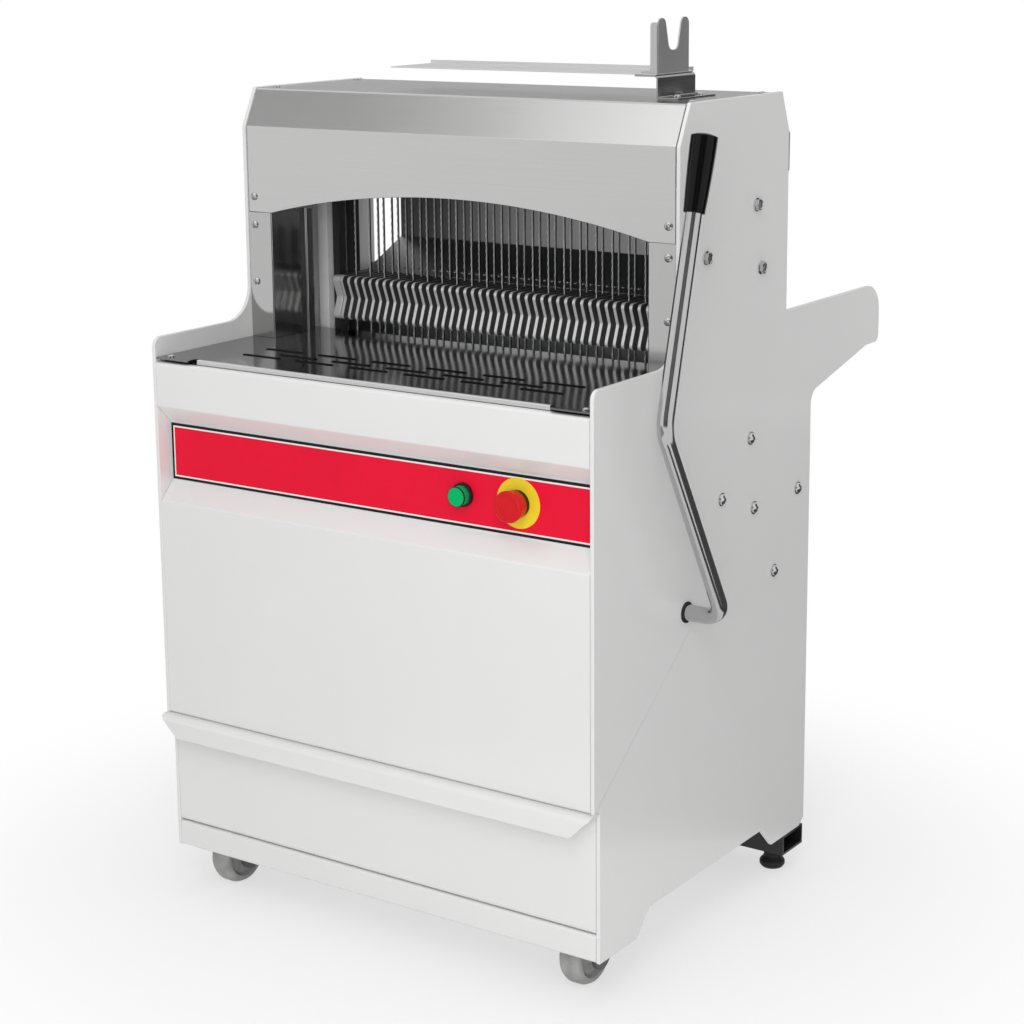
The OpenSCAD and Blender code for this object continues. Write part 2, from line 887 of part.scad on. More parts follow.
// Two-bolt flange bearing on the inner face of each side panel
module shaft_bearings() {
    ear_d = 24;
    web_h = 30;
    tilt = atan2(bearing_bolts[1].y - crank_z, bearing_bolts[1].x - crank_y);
    reach = norm(bearing_bolts[1] - [crank_y, crank_z]);
    translate(-datum) color(dark_steel) both_sides() difference() {
        union() {
            across(inner_x - bearing_flange, inner_x) union() {
                translate([crank_y, crank_z]) {
                    circle(d = bearing_d);
                    rotate(tilt) square([2 * reach, web_h], center = true);
                }
                for (p = bearing_bolts) translate(p) circle(d = ear_d);
            }
            bar_x(inner_x - bearing_w, inner_x, crank_y, crank_z, bearing_d);
        }
        bar_x(inner_x - bearing_w - 1, inner_x + 1, crank_y, crank_z, crank_d + 2 * run_fit);
    }
}

module tie_bars() {
    translate(-datum) color(steel) for (p = tie_places) bar_x(-inner_x, inner_x, p.x, p.y, tie_d);
}

// Belt pulley with one groove, turned about its bore
module pulley(r, bore_d) {
    w = pulley_w / 2;
    g = belt_w / 2 + 2 * seat;
    floor_r = r - belt_h / 2 - seat;
    rotate([0, 90, 0]) rotate_extrude($fn = 96) polygon([
        [bore_d / 2 + run_fit, -w], [r + rim_over, -w], [r + rim_over, -g], [floor_r, -g],
        [floor_r, g], [r + rim_over, g], [r + rim_over, w], [bore_d / 2 + run_fit, w]
    ]);
}

module driven_pulley() {
    translate(-datum) color(dark_steel) translate([pulley_x, crank_y, crank_z]) pulley(driven_r, crank_d);
}

module motor_pulley() {
    translate(-datum) color(dark_steel)
        translate([pulley_x, motor_y, motor_z]) pulley(pinion_r, motor_shaft_d);
}

// Outline of an open belt round the two pulleys, at a distance off their pitch circles
function belt_loop(off) =
    let (
        a = [crank_y, crank_z], b = [motor_y, motor_z], v = b - a, turn = atan2(v.y, v.x),
        open = acos((driven_r - pinion_r) / norm(v)), n = 20
    )
    concat(
        arc(a, driven_r + off, turn + open, turn + 360 - open, n),
        arc(b, pinion_r + off, turn - open, turn + open, n));

module drive_belt() {
    translate(-datum) color(black) across(pulley_x - belt_w / 2, pulley_x + belt_w / 2) difference() {
        polygon(belt_loop(belt_h / 2));
        polygon(belt_loop(-belt_h / 2));
    }
}

module motor_shaft() {
    x0 = pulley_x - pulley_w / 2 - 4;
    translate(-datum) color(steel) bar_x(x0, motor_x - motor_l / 2 + 30, motor_y, motor_z, motor_shaft_d);
}

module motor() {
    x0 = motor_x - motor_l / 2;
    x1 = motor_x + motor_l / 2;
    end_l = 12;
    fan_l = 40;
    box_h = 45;
    translate(-datum) color("slategray") difference() {
        union() {
            bar_x(x0 + end_l, x1 - fan_l, motor_y, motor_z, motor_d);
            bar_x(x0, x0 + end_l, motor_y, motor_z, motor_d - 12);
            bar_x(x1 - fan_l, x1, motor_y, motor_z, motor_d - 8);
            for (x = [x0 + 20, x1 - 84])
                block([x, motor_y - motor_d / 2, shelf_z], [x + 40, motor_y + motor_d / 2, shelf_z + 36]);
            block(
                [x0 + 60, motor_y + 20, motor_z],
                [x1 - 60, motor_y + motor_d / 2 + motor_box, motor_z + box_h]);
        }
        bar_x(x0 - 1, x0 + 40, motor_y, motor_z, motor_shaft_d + 2 * run_fit);
    }
}

module motor_shelf() {
    y0 = motor_y - motor_d / 2 - 12;
    y1 = rear_y - sheet_t - 1;
    drop = 14;
    path = [[y0, shelf_z - drop], [y0, shelf_z], [y1, shelf_z], [y1, shelf_z - drop]];
    translate(-datum) color(white) across(-sheet_x, sheet_x) polygon(sheet(rounded(path, fold_r), sheet_t));
}

// Lever

// Frame with its origin on the pivot and +Z along an arm that leans forward
module lever_frame(lean) {
    translate([0, lever_y, lever_z]) rotate([lean, 0, 0]) children();
}

// Bent bar: stub in the bush, lower arm, upper arm, with bends that swell a little over the straight bar
module lever_bar() {
    back = bend_r * tan(lever_bend / 2);
    bend_d = lever_d + 0.1;
    lap = 1.2;
    stub = arm_x + arm_t;
    translate(-datum) color("gainsboro") lever_frame(lever_lean) {
        translate([stub, 0, 0]) rotate([0, 90, 0])
            cylinder(d = lever_d, h = lever_x - elbow_r - stub + lap);
        translate([lever_x - elbow_r, 0, elbow_r]) rotate([90, 0, 0]) rotate([0, 0, -90])
            rotate_extrude(angle = 90) translate([elbow_r, 0]) circle(d = bend_d);
        translate([lever_x, 0, elbow_r - lap])
            cylinder(d = lever_d, h = lower_l - back - elbow_r + 2 * lap);
        translate([lever_x, bend_r, lower_l - back]) rotate([90, 0, 90]) rotate([0, 0, 180 - lever_bend])
            rotate_extrude(angle = lever_bend) translate([bend_r, 0]) circle(d = bend_d);
        translate([lever_x, 0, lower_l]) rotate([-lever_bend, 0, 0]) translate([0, 0, back - lap])
            cylinder(d = lever_d, h = upper_l + grip_l - grip_end - back + lap);
    }
}

module lever_grip() {
    r0 = lever_d / 2 + 2.5;
    r1 = grip_d / 2;
    round_r = 9;
    bore = lever_d / 2 + run_fit;
    core = grip_l - grip_end + seat;
    translate(-datum) color(black)
        lever_frame(lever_lean) translate([lever_x, 0, lower_l]) rotate([-lever_bend, 0, 0])
        translate([0, 0, upper_l]) rotate_extrude() polygon(concat(
            [[bore, 0], [r0 - 1, 0], [r0, 1], [r0 + 0.5, 6]],
            arc([r1 - round_r, grip_l - round_r], round_r, 8, 90, 6),
            [[0, grip_l], [0, core], [bore, core]]));
}

module lever_shaft() {
    translate(-datum) color(steel) bar_x(-half_w - bush_out, arm_x + arm_t, lever_y, lever_z, lever_d);
}

module lever_arms() {
    hub_d = lever_d + 20;
    translate(-datum) color(dark_steel)
        lever_frame(half_swing) both_sides() translate([arm_x, 0, 0]) difference() {
        union() {
            rotate([0, 90, 0]) cylinder(d = hub_d, h = arm_t);
            translate([0, -arm_w / 2, 0]) cube([arm_t, arm_w, arm_reach]);
        }
        translate([-1, 0, 0]) rotate([0, 90, 0]) cylinder(d = lever_d + 2 * run_fit, h = arm_t + 2);
        translate([-1, -arm_slot / 2, pin_z - lever_z - pin_d]) cube([arm_t + 2, arm_slot, arm_reach]);
    }
}

module lever_bushes() {
    translate(-datum) color(black) both_sides() difference() {
        bar_x(inner_x, half_w + bush_out, lever_y, lever_z, bush_d);
        bar_x(inner_x - 1, half_w + bush_out + 1, lever_y, lever_z, lever_d + 2 * run_fit);
    }
}

// Press

// Finger outline: V-shaped head towards the operator, straight bar towards the rear
module finger_outline() {
    r = 5;
    head = 16;
    knee = comb_h - finger_h;
    tilt = atan(vee_d / (comb_h / 2));
    nose = r * (1 + sin(tilt)) / cos(tilt);
    translate([comb_y, comb_z]) polygon(concat(
        arc([nose, comb_h - r], r, 90, 180 + tilt, 4),
        [[vee_d, comb_h / 2]],
        arc([nose, r], r, 180 - tilt, 270, 4),
        [
            [head, 0], [head + vee_d, comb_h / 2 - 6], [head + vee_d + 14, knee],
            [comb_l, knee], [comb_l, comb_h]
        ]));
}

module press_comb() {
    translate(-datum) color("lightgray") {
        for (i = [0 : fingers - 1]) {
            x = slice * i - comb_half;
            across(x - finger_t / 2, x + finger_t / 2) finger_outline();
        }
        both_sides() across(edge_x - edge_t / 2, edge_x + edge_t / 2) finger_outline();
    }
}

module press_bar() {
    translate(-datum) color(dark_steel)
        block([-block_x, bar_y, comb_top - finger_h - 4], [block_x, bar_y + bar_d, comb_top]);
}

module press_cover() {
    front = frame_end + 2;
    knee = comb_top + cover_step + cover_rise;
    path = [
        [front, comb_top], [front, comb_top + cover_step], [bar_y, knee], [bar_y, knee + cover_back]
    ];
    translate(-datum) color(steel)
        across(-edge_x, edge_x) polygon(sheet(rounded(path, cover_t + 1), cover_t));
}

// Right-hand carriage: bush block on the guide rod, upright to the press bar, draw bar with its pin
module carriage() {
    block_z = rod_z - block_h / 2;
    bar_end = pin_d + 1;
    difference() {
        union() {
            block([block_x, block_y, block_z], [block_x + block_w, block_y + block_l, block_z + block_h]);
            block([block_x, block_y + 7, rod_z], [block_x + upright_t, bar_y + bar_d + 1, comb_top]);
            block([block_x, block_y, drag_z], [block_x + drag_t, block_y + drop_l, rod_z]);
            block(
                [block_x, pin_y - bar_end, drag_z],
                [block_x + drag_t, block_y + drop_l, drag_z + drag_h]);
            bar_x(arm_x, block_x, pin_y, pin_z, pin_d);
        }
        bar_y(block_y - 1, block_y + block_l + 1, rod_x, rod_z, rod_d + 2 * run_fit);
    }
}

module carriages() {
    translate(-datum) color(dark_steel) both_sides() carriage();
}

// Crumb drawer

module drawer_front() {
    lip_out = 23;
    lip_h = 27;
    flange = 14;
    lip_y = setback - lip_out;
    path = [
        [setback + flange, drawer_z], [setback, drawer_z], [setback, drawer_top],
        [lip_y, drawer_top], [lip_y, drawer_top - lip_h]
    ];
    translate(-datum) color(white) difference() {
        across(-half_w, half_w) polygon(sheet(rounded(path, drawer_fold, 6), sheet_t));
        both_sides() {
            block(
                [sheet_x, setback - side_play, drawer_z - 1],
                [half_w + 1, setback + flange + 1, drawer_top + 1]);
            along(lip_y - 1, setback) polygon([
                [half_w - lip_h, drawer_top - lip_h - 1], [half_w + 1, drawer_top],
                [half_w + 1, drawer_top - lip_h - 1]
            ]);
        }
    }
}

module drawer_tray() {
    y0 = setback + sheet_t;
    y1 = rear_y - 90;
    out = inner_x - 24;
    top = tray_low + tray_h;
    translate(-datum) color(steel) {
        difference() {
            block([-out, y0, tray_low], [out, y1, top]);
            block(
                [-out + tray_wall, y0 + tray_wall, tray_low + tray_wall],
                [out - tray_wall, y1 - tray_wall, top + 1]);
        }
        both_sides() block([out, y0, top - tray_wall], [inner_x - 6, y1, top]);
    }
}

module drawer_runners() {
    top = tray_low + tray_h - tray_wall - seat;
    leg = 22;
    path = [[inner_x - leg, top], [inner_x, top], [inner_x, top - leg]];
    translate(-datum) color(dark_steel)
        both_sides() along(setback + sheet_t + 4, rear_y - 60) polygon(sheet(path, 2));
}

// Controls

module start_bezel() {
    translate(-datum) color(black) difference() {
        bar_y(foil_y - bezel_h, foil_y, start_x, button_z, start_d + 4);
        bar_y(foil_y - bezel_h - 1, foil_y + 1, start_x, button_z, start_d + 2 * stem_fit);
    }
}

module start_button() {
    proud = 16;
    rear = foil_y - 1 - start_travel;
    plunger_d = 10;
    translate(-datum) color("seagreen") {
        bar_y(foil_y - proud, rear, start_x, button_z, start_d);
        bar_y(rear, recess_d + sheet_t + 8, start_x, button_z, plunger_d);
    }
}

module estop_disc() {
    translate(-datum) color("gold") difference() {
        bar_y(foil_y - disc_t, foil_y, estop_x, button_z, disc_d);
        bar_y(foil_y - 2 * disc_t, foil_y + 1, estop_x, button_z, stem_d + 2 * stem_fit);
    }
}

module estop_collar() {
    translate(-datum) color(black) difference() {
        bar_y(foil_y - disc_t - collar_h, foil_y - disc_t, estop_x, button_z, estop_d - 6);
        bar_y(foil_y - disc_t - collar_h - 1, foil_y, estop_x, button_z, stem_d + 2 * stem_fit);
    }
}

module estop_stem() {
    translate(-datum) color(dark_steel) {
        bar_y(stem_front, recess_d + sheet_t + 14, estop_x, button_z, stem_d);
        bar_y(stem_front - nose_l, stem_front, estop_x, button_z, nose_d);
    }
}

module estop_head() {
    r = estop_d / 2;
    thick = 11;
    edge = 4;
    bore = nose_d / 2 + run_fit;
    depth = nose_l + seat;
    translate(-datum) color("red") translate([estop_x, stem_front - seat, button_z]) rotate([90, 0, 0])
        rotate_extrude($fn = 72) polygon(concat(
            [[bore, 0], [r - edge, 0], [r - 1, edge]],
            arc([r - edge, thick - edge], edge, 0, 90, 4),
            [[r - 2 * edge, thick - 0.6], [0, thick - 0.6], [0, depth], [bore, depth]]));
}

module contact_blocks() {
    y = recess_d + sheet_t;
    w = 18;
    h = 22;
    d = 38;
    translate(-datum) color(black) for (x = [start_x, estop_x]) difference() {
        block([x - w, y, button_z - h], [x + w, y + d, button_z + h]);
        bar_y(y - 1, y + d - 14, x, button_z, stem_d + 1);
    }
}

// Bag holder

module bag_bracket() {
    x = holder_x;
    top = tray_z - holder_t;
    path = [[x + holder_flange, cover_z], [x, cover_z], [x, top], [x - holder_flange, top]];
    translate(-datum) color(steel)
        along(holder_y, holder_y + holder_l) polygon(sheet(rounded(path, holder_t + 1), holder_t));
}

module bag_tray() {
    y = holder_y + holder_in;
    lip = 6;
    path = [[y + tray_w, tray_z + lip], [y + tray_w, tray_z], [y, tray_z]];
    translate(-datum) color(dark_steel) across(holder_x - tray_l, holder_x) polygon(sheet(path, tray_t));
}

// Fork blade with a tapered notch, turned-back edges and a foot on the tray
module bag_fork() {
    notch_w = 42;
    notch_r = 10;
    notch_z = fork_z + fork_h - 33;
    edge = 11;
    prong = (fork_w - notch_w) / 2;
    round_r = prong / 2 - 0.5;
    mid = fork_y + fork_w / 2;
    top = fork_z + fork_h;
    t = holder_t;
    translate(-datum) color(dark_steel) {
        across(holder_x - t, holder_x) difference() {
            translate([fork_y, fork_z]) square([fork_w, fork_h]);
            polygon([
                [mid - notch_r, notch_z], [mid + notch_r, notch_z],
                [mid + notch_w / 2, top + 1], [mid - notch_w / 2, top + 1]
            ]);
            translate([mid, notch_z]) circle(notch_r);
            corner([fork_y, top], round_r, 1, -1);
            corner([fork_y + fork_w, top], round_r, -1, -1);
        }
        for (y = [fork_y, fork_y + fork_w - t])
            block([holder_x - edge, y, fork_z], [holder_x - t, y + t, top - round_r]);
        block(
            [holder_x - holder_flange + 4, fork_y + t, fork_z],
            [holder_x - t, fork_y + fork_w - t, fork_z + t]);
    }
}

// Fasteners

// Bolt through the right-hand side panel at p, with a washer and a hexagonal or domed head
module side_bolt(p, hex) {
    head_d = 14;
    washer_t = 1.2;
    head_h = 5;
    translate([inner_x, p.x, p.y]) rotate([0, 90, 0]) {
        cylinder(d = bolt_d, h = panel_t);
        translate([0, 0, panel_t]) {
            cylinder(d = head_d + 3, h = washer_t);
            if (hex) cylinder(d = head_d + 1, h = washer_t + head_h, $fn = 6);
            else translate([0, 0, washer_t]) cylinder(d1 = head_d, d2 = head_d * 0.5, h = head_h - 1);
        }
    }
}

module side_bolts() {
    translate(-datum) color(steel) both_sides() {
        for (p = hex_bolts) side_bolt(p, true);
        for (p = dome_bolts) side_bolt(p, false);
    }
}

// Pan head on a face, pointing along +Z
module pan_head() {
    d = 10;
    rim = 1.2;
    cylinder(d = d, h = rim);
    translate([0, 0, rim]) cylinder(d1 = d, d2 = d * 0.5, h = 1.6);
}

module cover_screws() {
    x = sheet_x - 10;
    translate(-datum) color(steel) {
        both_sides() {
            for (z = [bridge_z + 20, bridge_z - 17, bridge_z - 92])
                translate([x, front_y, z]) rotate([90, 0, 0]) pan_head();
            for (y = [head_y + facet_d + 30, head_rear - rear_facet_d - 25])
                translate([x, y, cover_z]) pan_head();
            translate([x - 3, 14, table_z]) pan_head();
            translate([x, head_rear, facet_z - 65]) rotate([-90, 0, 0]) pan_head();
            for (z = [foot_z + 40, rear_top - 40])
                translate([x, rear_y, z]) rotate([-90, 0, 0]) pan_head();
        }
        for (y = [holder_y + 20, holder_y + holder_l - 15])
            translate([holder_x + holder_flange / 2 + 1, y, cover_z + holder_t]) pan_head();
        for (y = [fork_y + 20, fork_y + fork_w - 20])
            translate([holder_x - 17, y, fork_z + holder_t]) pan_head();
    }
}

left_side_panel();
right_side_panel();
front_panel();
control_foil();
skirt();
rear_panel();
cable_gland();
rear_member();
foot_left();
foot_right();
wheel_brackets();
wheel_axles();
wheel_left();
wheel_right();
front_table();
table_rails();
rear_table();
rod_beams();
guide_rods();
columns();
head_cover();
rear_cover();
guide_posts();
blade_frame_front();
blades_front();
blade_frame_rear();
blades_rear();
crankshaft();
shaft_bearings();
tie_bars();
driven_pulley();
drive_belt();
motor_pulley();
motor_shaft();
motor();
motor_shelf();
lever_bar();
lever_grip();
lever_shaft();
lever_arms();
lever_bushes();
press_comb();
press_bar();
press_cover();
carriages();
drawer_front();
drawer_tray();
drawer_runners();
start_bezel();
start_button();
estop_disc();
estop_collar();
estop_stem();
estop_head();
contact_blocks();
bag_bracket();
bag_tray();
bag_fork();
side_bolts();
cover_screws();
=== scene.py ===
"""Looks of a lever-operated bread slicer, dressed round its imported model."""
import logging
import math
from dataclasses import dataclass
from enum import Enum
from functools import lru_cache
from typing import Any, Iterable, Optional, Sequence, Union

import bmesh
import bpy
import numpy as np
from mathutils import Matrix, Vector


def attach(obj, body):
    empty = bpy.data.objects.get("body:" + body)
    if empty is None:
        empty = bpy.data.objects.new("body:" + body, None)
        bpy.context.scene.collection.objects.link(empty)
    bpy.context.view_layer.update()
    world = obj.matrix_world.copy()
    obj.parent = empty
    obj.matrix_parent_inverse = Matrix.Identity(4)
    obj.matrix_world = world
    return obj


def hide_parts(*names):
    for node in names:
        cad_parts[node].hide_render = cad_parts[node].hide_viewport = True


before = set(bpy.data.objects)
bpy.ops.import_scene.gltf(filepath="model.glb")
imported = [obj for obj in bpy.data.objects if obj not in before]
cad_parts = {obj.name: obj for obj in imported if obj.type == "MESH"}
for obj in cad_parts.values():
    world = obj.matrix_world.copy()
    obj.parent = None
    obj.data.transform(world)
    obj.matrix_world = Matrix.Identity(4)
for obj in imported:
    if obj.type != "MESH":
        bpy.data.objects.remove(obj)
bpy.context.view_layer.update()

LOG = logging.getLogger("slicer")
MM = 0.001
# The frame's origin, in the millimetres of the classes below, which count from the middle of the front panel
DATUM = np.array([30.0, 357.0, 0.0])
# Cells of noise per metre across and along the grain of brushed metal
ACROSS, ALONG = 1500.0, 5.0
# Chamfer of a sheet's edges, and the radius from which a turned profile's end is the wall of a bore
CHAMFER, BORE = 0.35, 0.1
# Distances in metres within which a piece's points are merged and its slivers are dissolved
WELD, SLIVER = 2e-6, 1e-7
Array = np.ndarray
Colour = tuple[float, float, float]


class Axis(Enum):
    """Direction that a profile is carried along or turned about, as the order of its columns."""

    X = (0, 1, 2)
    Y = (1, 0, 2)
    Z = (1, 2, 0)


class Cap(Enum):
    """How the open ends of a loft are closed."""

    DISC = "one face over the ring"
    STRIP = "quads between the two faces of a sheet"
    LOOP = "the last ring joins the first"


# Shader wires


class Wire:
    """An output socket of a material, whose arithmetic adds Math nodes."""

    def __init__(self, shader: "Nodes", socket: bpy.types.NodeSocket) -> None:
        """Keeps the socket and its shader."""
        self.shader = shader
        self.socket = socket

    def math(self, operation: str, first: Any, second: Any = 0.0) -> "Wire":
        """Adds one Math node.

        Args:
            operation: The node's operation.
            first: Value or wire of the first socket.
            second: Value or wire of the second socket.

        Returns:
            The node's result.
        """
        return self.shader.node("ShaderNodeMath", {"operation": operation}, {0: first, 1: second})

    def __add__(self, other: Any) -> "Wire":
        """Sum."""
        return self.math("ADD", self, other)

    __radd__ = __add__

    def __sub__(self, other: Any) -> "Wire":
        """Difference."""
        return self.math("SUBTRACT", self, other)

    def __rsub__(self, other: Any) -> "Wire":
        """Difference with this wire on the right."""
        return self.math("SUBTRACT", other, self)

    def __mul__(self, other: Any) -> "Wire":
        """Product."""
        return self.math("MULTIPLY", self, other)

    __rmul__ = __mul__

    def __pow__(self, other: Any) -> "Wire":
        """Power."""
        return self.math("POWER", self, other)

    def __abs__(self) -> "Wire":
        """Size without its sign."""
        return self.math("ABSOLUTE", self)

    def least(self, other: Any) -> "Wire":
        """The smaller of the two."""
        return self.math("MINIMUM", self, other)

    def most(self, other: Any) -> "Wire":
        """The larger of the two."""
        return self.math("MAXIMUM", self, other)


class Nodes:
    """A node tree and the one way of adding nodes to it."""

    def __init__(self, tree: bpy.types.NodeTree) -> None:
        """Keeps the tree."""
        self.tree = tree

    def feed(self, socket: bpy.types.NodeSocket, value: Any) -> None:
        """Links a wire to a socket, or sets the socket to a plain value.

        Args:
            socket: The input socket.
            value: A wire or a plain value.
        """
        if isinstance(value, Wire):
            self.tree.links.new(value.socket, socket)
        else:
            socket.default_value = value

    def node(self, kind: str, settings: Optional[dict] = None, sockets: Optional[dict] = None,
             output: Union[int, str] = 0) -> Wire:
        """Adds one node.

        Args:
            kind: The node's type.
            settings: Properties that are set first.
            sockets: Values or wires by socket name or number.
            output: The output that is returned.

        Returns:
            A wire from that output.
        """
        made = self.tree.nodes.new(kind)
        for key, value in (settings or {}).items():
            setattr(made, key, value)
        for key, value in (sockets or {}).items():
            self.feed(made.inputs[key], value)
        return Wire(self, made.outputs[output])

    def seen(self) -> Wire:
        """One for rays from the eye, from reflections and through glass, else nought.

        Returns:
            A wire from the sum of the rays' marks.
        """
        rays = [self.node("ShaderNodeLightPath", output=f"Is {kind} Ray")
                for kind in ("Camera", "Glossy", "Transmission")]
        return (rays[0] + rays[1] + rays[2]).least(1.0)


class Shader(Nodes):
    """One material: a Principled surface and the nodes that feed it."""

    def __init__(self, name: str) -> None:
        """Makes the material with its Principled surface.

        Args:
            name: Name of the material.
        """
        self.material = bpy.data.materials.new(name)
        self.material.use_nodes = True
        super().__init__(self.material.node_tree)
        self.surface = self.tree.nodes["Principled BSDF"]

    def place(self) -> Wire:
        """Object coordinates in metres, counted from the middle of the front panel's lower edge."""
        return self.node("ShaderNodeVectorMath", {"operation": "ADD"}, {
            0: self.node("ShaderNodeTexCoord", output="Object"), 1: tuple(DATUM * MM)})

    def split(self) -> list[Wire]:
        """The three object coordinates, one wire each."""
        source = self.place()
        return [self.node("ShaderNodeSeparateXYZ", {}, {0: source}, i) for i in range(3)]

    def noise(self, scale: Union[float, Sequence[float]], detail: float = 2.0, rough: float = 0.5) -> Wire:
        """Noise between 0 and 1.

        Args:
            scale: Cells per metre, one number or one for each axis.
            detail: Octaves.
            rough: Weight of the fine octaves.

        Returns:
            The noise value.
        """
        spread = (scale,) * 3 if isinstance(scale, (int, float)) else tuple(scale)
        turned = self.node("ShaderNodeMapping", {}, {"Vector": self.place(), "Scale": spread})
        return self.node("ShaderNodeTexNoise", {},
                         {"Vector": turned, "Scale": 1.0, "Detail": detail, "Roughness": rough})

    def cells(self, scale: float) -> Wire:
        """Distance to the nearest of scattered points, for spangle."""
        return self.node("ShaderNodeTexVoronoi", {}, {"Vector": self.place(), "Scale": scale})

    def between(self, low: float, high: float, value: Wire) -> Wire:
        """Value from 0 to 1 stretched to run from low to high."""
        return value * (high - low) + low

    def step(self, value: Wire, low: float, high: float) -> Wire:
        """Smooth rise from 0 to 1 while value goes from low to high."""
        return self.node("ShaderNodeMapRange", {"interpolation_type": "SMOOTHSTEP"},
                         {"Value": value, "From Min": low, "From Max": high})

    def edge(self, value: Wire, mark: float, soft: float = 0.0002) -> Wire:
        """Rise from 0 to 1 where value passes a mark, softened on both sides of it."""
        return self.step(value, mark - soft, mark + soft)

    def mix(self, first: Any, second: Any, factor: Any) -> Wire:
        """Mix of two colours, given as wires or tuples."""
        shades = [(*c, 1.0) if isinstance(c, tuple) else c for c in (first, second)]
        return self.node("ShaderNodeMix", {"data_type": "RGBA"}, {0: factor, 6: shades[0], 7: shades[1]}, 2)

    def tint(self, colour: Colour, low: float, high: float, factor: Any) -> Wire:
        """Colour whose brightness goes from low to high times its own with the factor."""
        return self.mix(shade(colour, low), shade(colour, high), factor)

    def relief(self, height: Wire, strength: float, depth: float) -> None:
        """Bumps the surface's normal by a height, with its full depth in metres."""
        self.set("Normal", self.node("ShaderNodeBump", {},
                                     {"Strength": strength, "Distance": depth, "Height": height}))

    def set(self, socket: str, value: Any) -> None:
        """Feeds one socket of the surface."""
        self.feed(self.surface.inputs[socket], (*value, 1.0) if isinstance(value, tuple) else value)


def shade(colour: Colour, factor: float) -> Colour:
    """Colour made darker or lighter by a factor."""
    return tuple(min(1.0, c * factor) for c in colour)


# Finishes


@dataclass(frozen=True)
class Finish:
    """Named finish of a piece."""

    name: str

    def material(self) -> bpy.types.Material:
        """Makes the material."""
        made = Shader(self.name)
        self.wire(made)
        return made.material

    def wire(self, made: Shader) -> None:
        """Feeds the surface of the new material."""
        raise NotImplementedError


@dataclass(frozen=True)
class Paint(Finish):
    """Powder coat: slow unevenness in tone and a fine orange peel under gloss."""

    colour: Colour
    roughness: float = 0.32
    coat: float = 0.35
    peel: float = 0.12

    def wire(self, made: Shader) -> None:
        """Feeds the tone from a cloud, roughness and relief from the peel.

        Args:
            made: The new material.
        """
        cloud = made.noise(5.0, 4.0, 0.6)
        peel = made.noise(420.0, 2.0)
        made.set("Base Color", made.tint(self.colour, 0.965, 1.02, cloud))
        made.set("Roughness", made.between(self.roughness - 0.06, self.roughness + 0.06, peel))
        made.set("Coat Weight", self.coat)
        made.set("Coat Roughness", 0.12)
        made.relief(peel, self.peel, 0.0004)


@dataclass(frozen=True)
class Brushed(Finish):
    """Rolled or ground steel: streaks along one axis, and faint handling marks."""

    colour: Colour
    grain: Axis = Axis.X
    roughness: float = 0.3
    streak: float = 0.08
    smudge: float = 0.05

    def wire(self, made: Shader) -> None:
        """Feeds tone and relief from the streaks, roughness from streaks and smudges.

        Args:
            made: The new material.
        """
        fine = made.noise([ALONG if axis is self.grain else ACROSS for axis in Axis], 3.0, 0.65)
        cloud = made.noise(7.0, 4.0, 0.55)
        made.set("Base Color", made.tint(self.colour, 1 - self.streak, 1 + self.streak, fine))
        made.set("Roughness", made.between(self.roughness - self.streak, self.roughness + self.streak, fine)
                 + made.between(-self.smudge, self.smudge, cloud))
        made.set("Metallic", 1.0)
        made.relief(fine, 0.1, 0.0001)


@dataclass(frozen=True)
class Polished(Finish):
    """Bright plate or mirror sheet: nearly smooth, with light smears and fine scratches."""

    colour: Colour
    roughness: float = 0.07
    smear: float = 0.06
    wave: float = 0.0

    def wire(self, made: Shader) -> None:
        """Feeds roughness from scratched smears, relief from slow waves and scratches.

        Args:
            made: The new material.
        """
        cloud = made.noise(11.0, 5.0, 0.6)
        scratch = made.noise((900.0, 14.0, 14.0), 2.0, 0.7)
        made.set("Base Color", made.tint(self.colour, 0.93, 1.03, cloud))
        made.set("Roughness", made.between(self.roughness, self.roughness + self.smear, cloud * scratch * 2.0))
        made.set("Metallic", 1.0)
        made.relief(made.noise(16.0, 1.0) * self.wave + scratch * 0.04, 0.2, 0.0006)


@dataclass(frozen=True)
class Plated(Finish):
    """Zinc plate: pale spangle and cloudy dulling."""

    colour: Colour
    roughness: float = 0.38

    def wire(self, made: Shader) -> None:
        """Feeds tone and relief from the spangle, dulled by a cloud.

        Args:
            made: The new material.
        """
        spangle = made.cells(260.0)
        cloud = made.noise(30.0, 4.0, 0.6)
        tone = made.tint(self.colour, 0.86, 1.06, spangle)
        made.set("Base Color", made.mix(tone, shade(self.colour, 0.8), cloud * 0.35))
        made.set("Roughness", made.between(self.roughness - 0.08, self.roughness + 0.1, cloud))
        made.set("Metallic", 1.0)
        made.relief(spangle, 0.05, 0.0002)


@dataclass(frozen=True)
class Moulded(Finish):
    """Plastic or rubber from a spark-eroded mould: fine grain and faint wear."""

    colour: Colour
    roughness: float = 0.4
    coat: float = 0.0
    grain: float = 0.15
    pitch: float = 1100.0
    shine: float = 0.3
    wear: float = 0.1

    def wire(self, made: Shader) -> None:
        """Feeds tone and roughness from the wear, relief from the grain.

        Args:
            made: The new material.
        """
        grit = made.noise(self.pitch, 3.0, 0.6)
        wear = made.noise(45.0, 4.0, 0.6)
        made.set("Base Color", made.tint(self.colour, 1 - self.wear, 1 + self.wear, wear))
        made.set("Roughness", made.between(self.roughness - 0.07, self.roughness + 0.09, wear))
        made.set("Coat Weight", self.coat)
        made.set("Specular IOR Level", self.shine)
        made.relief(grit, self.grain, 0.0002)


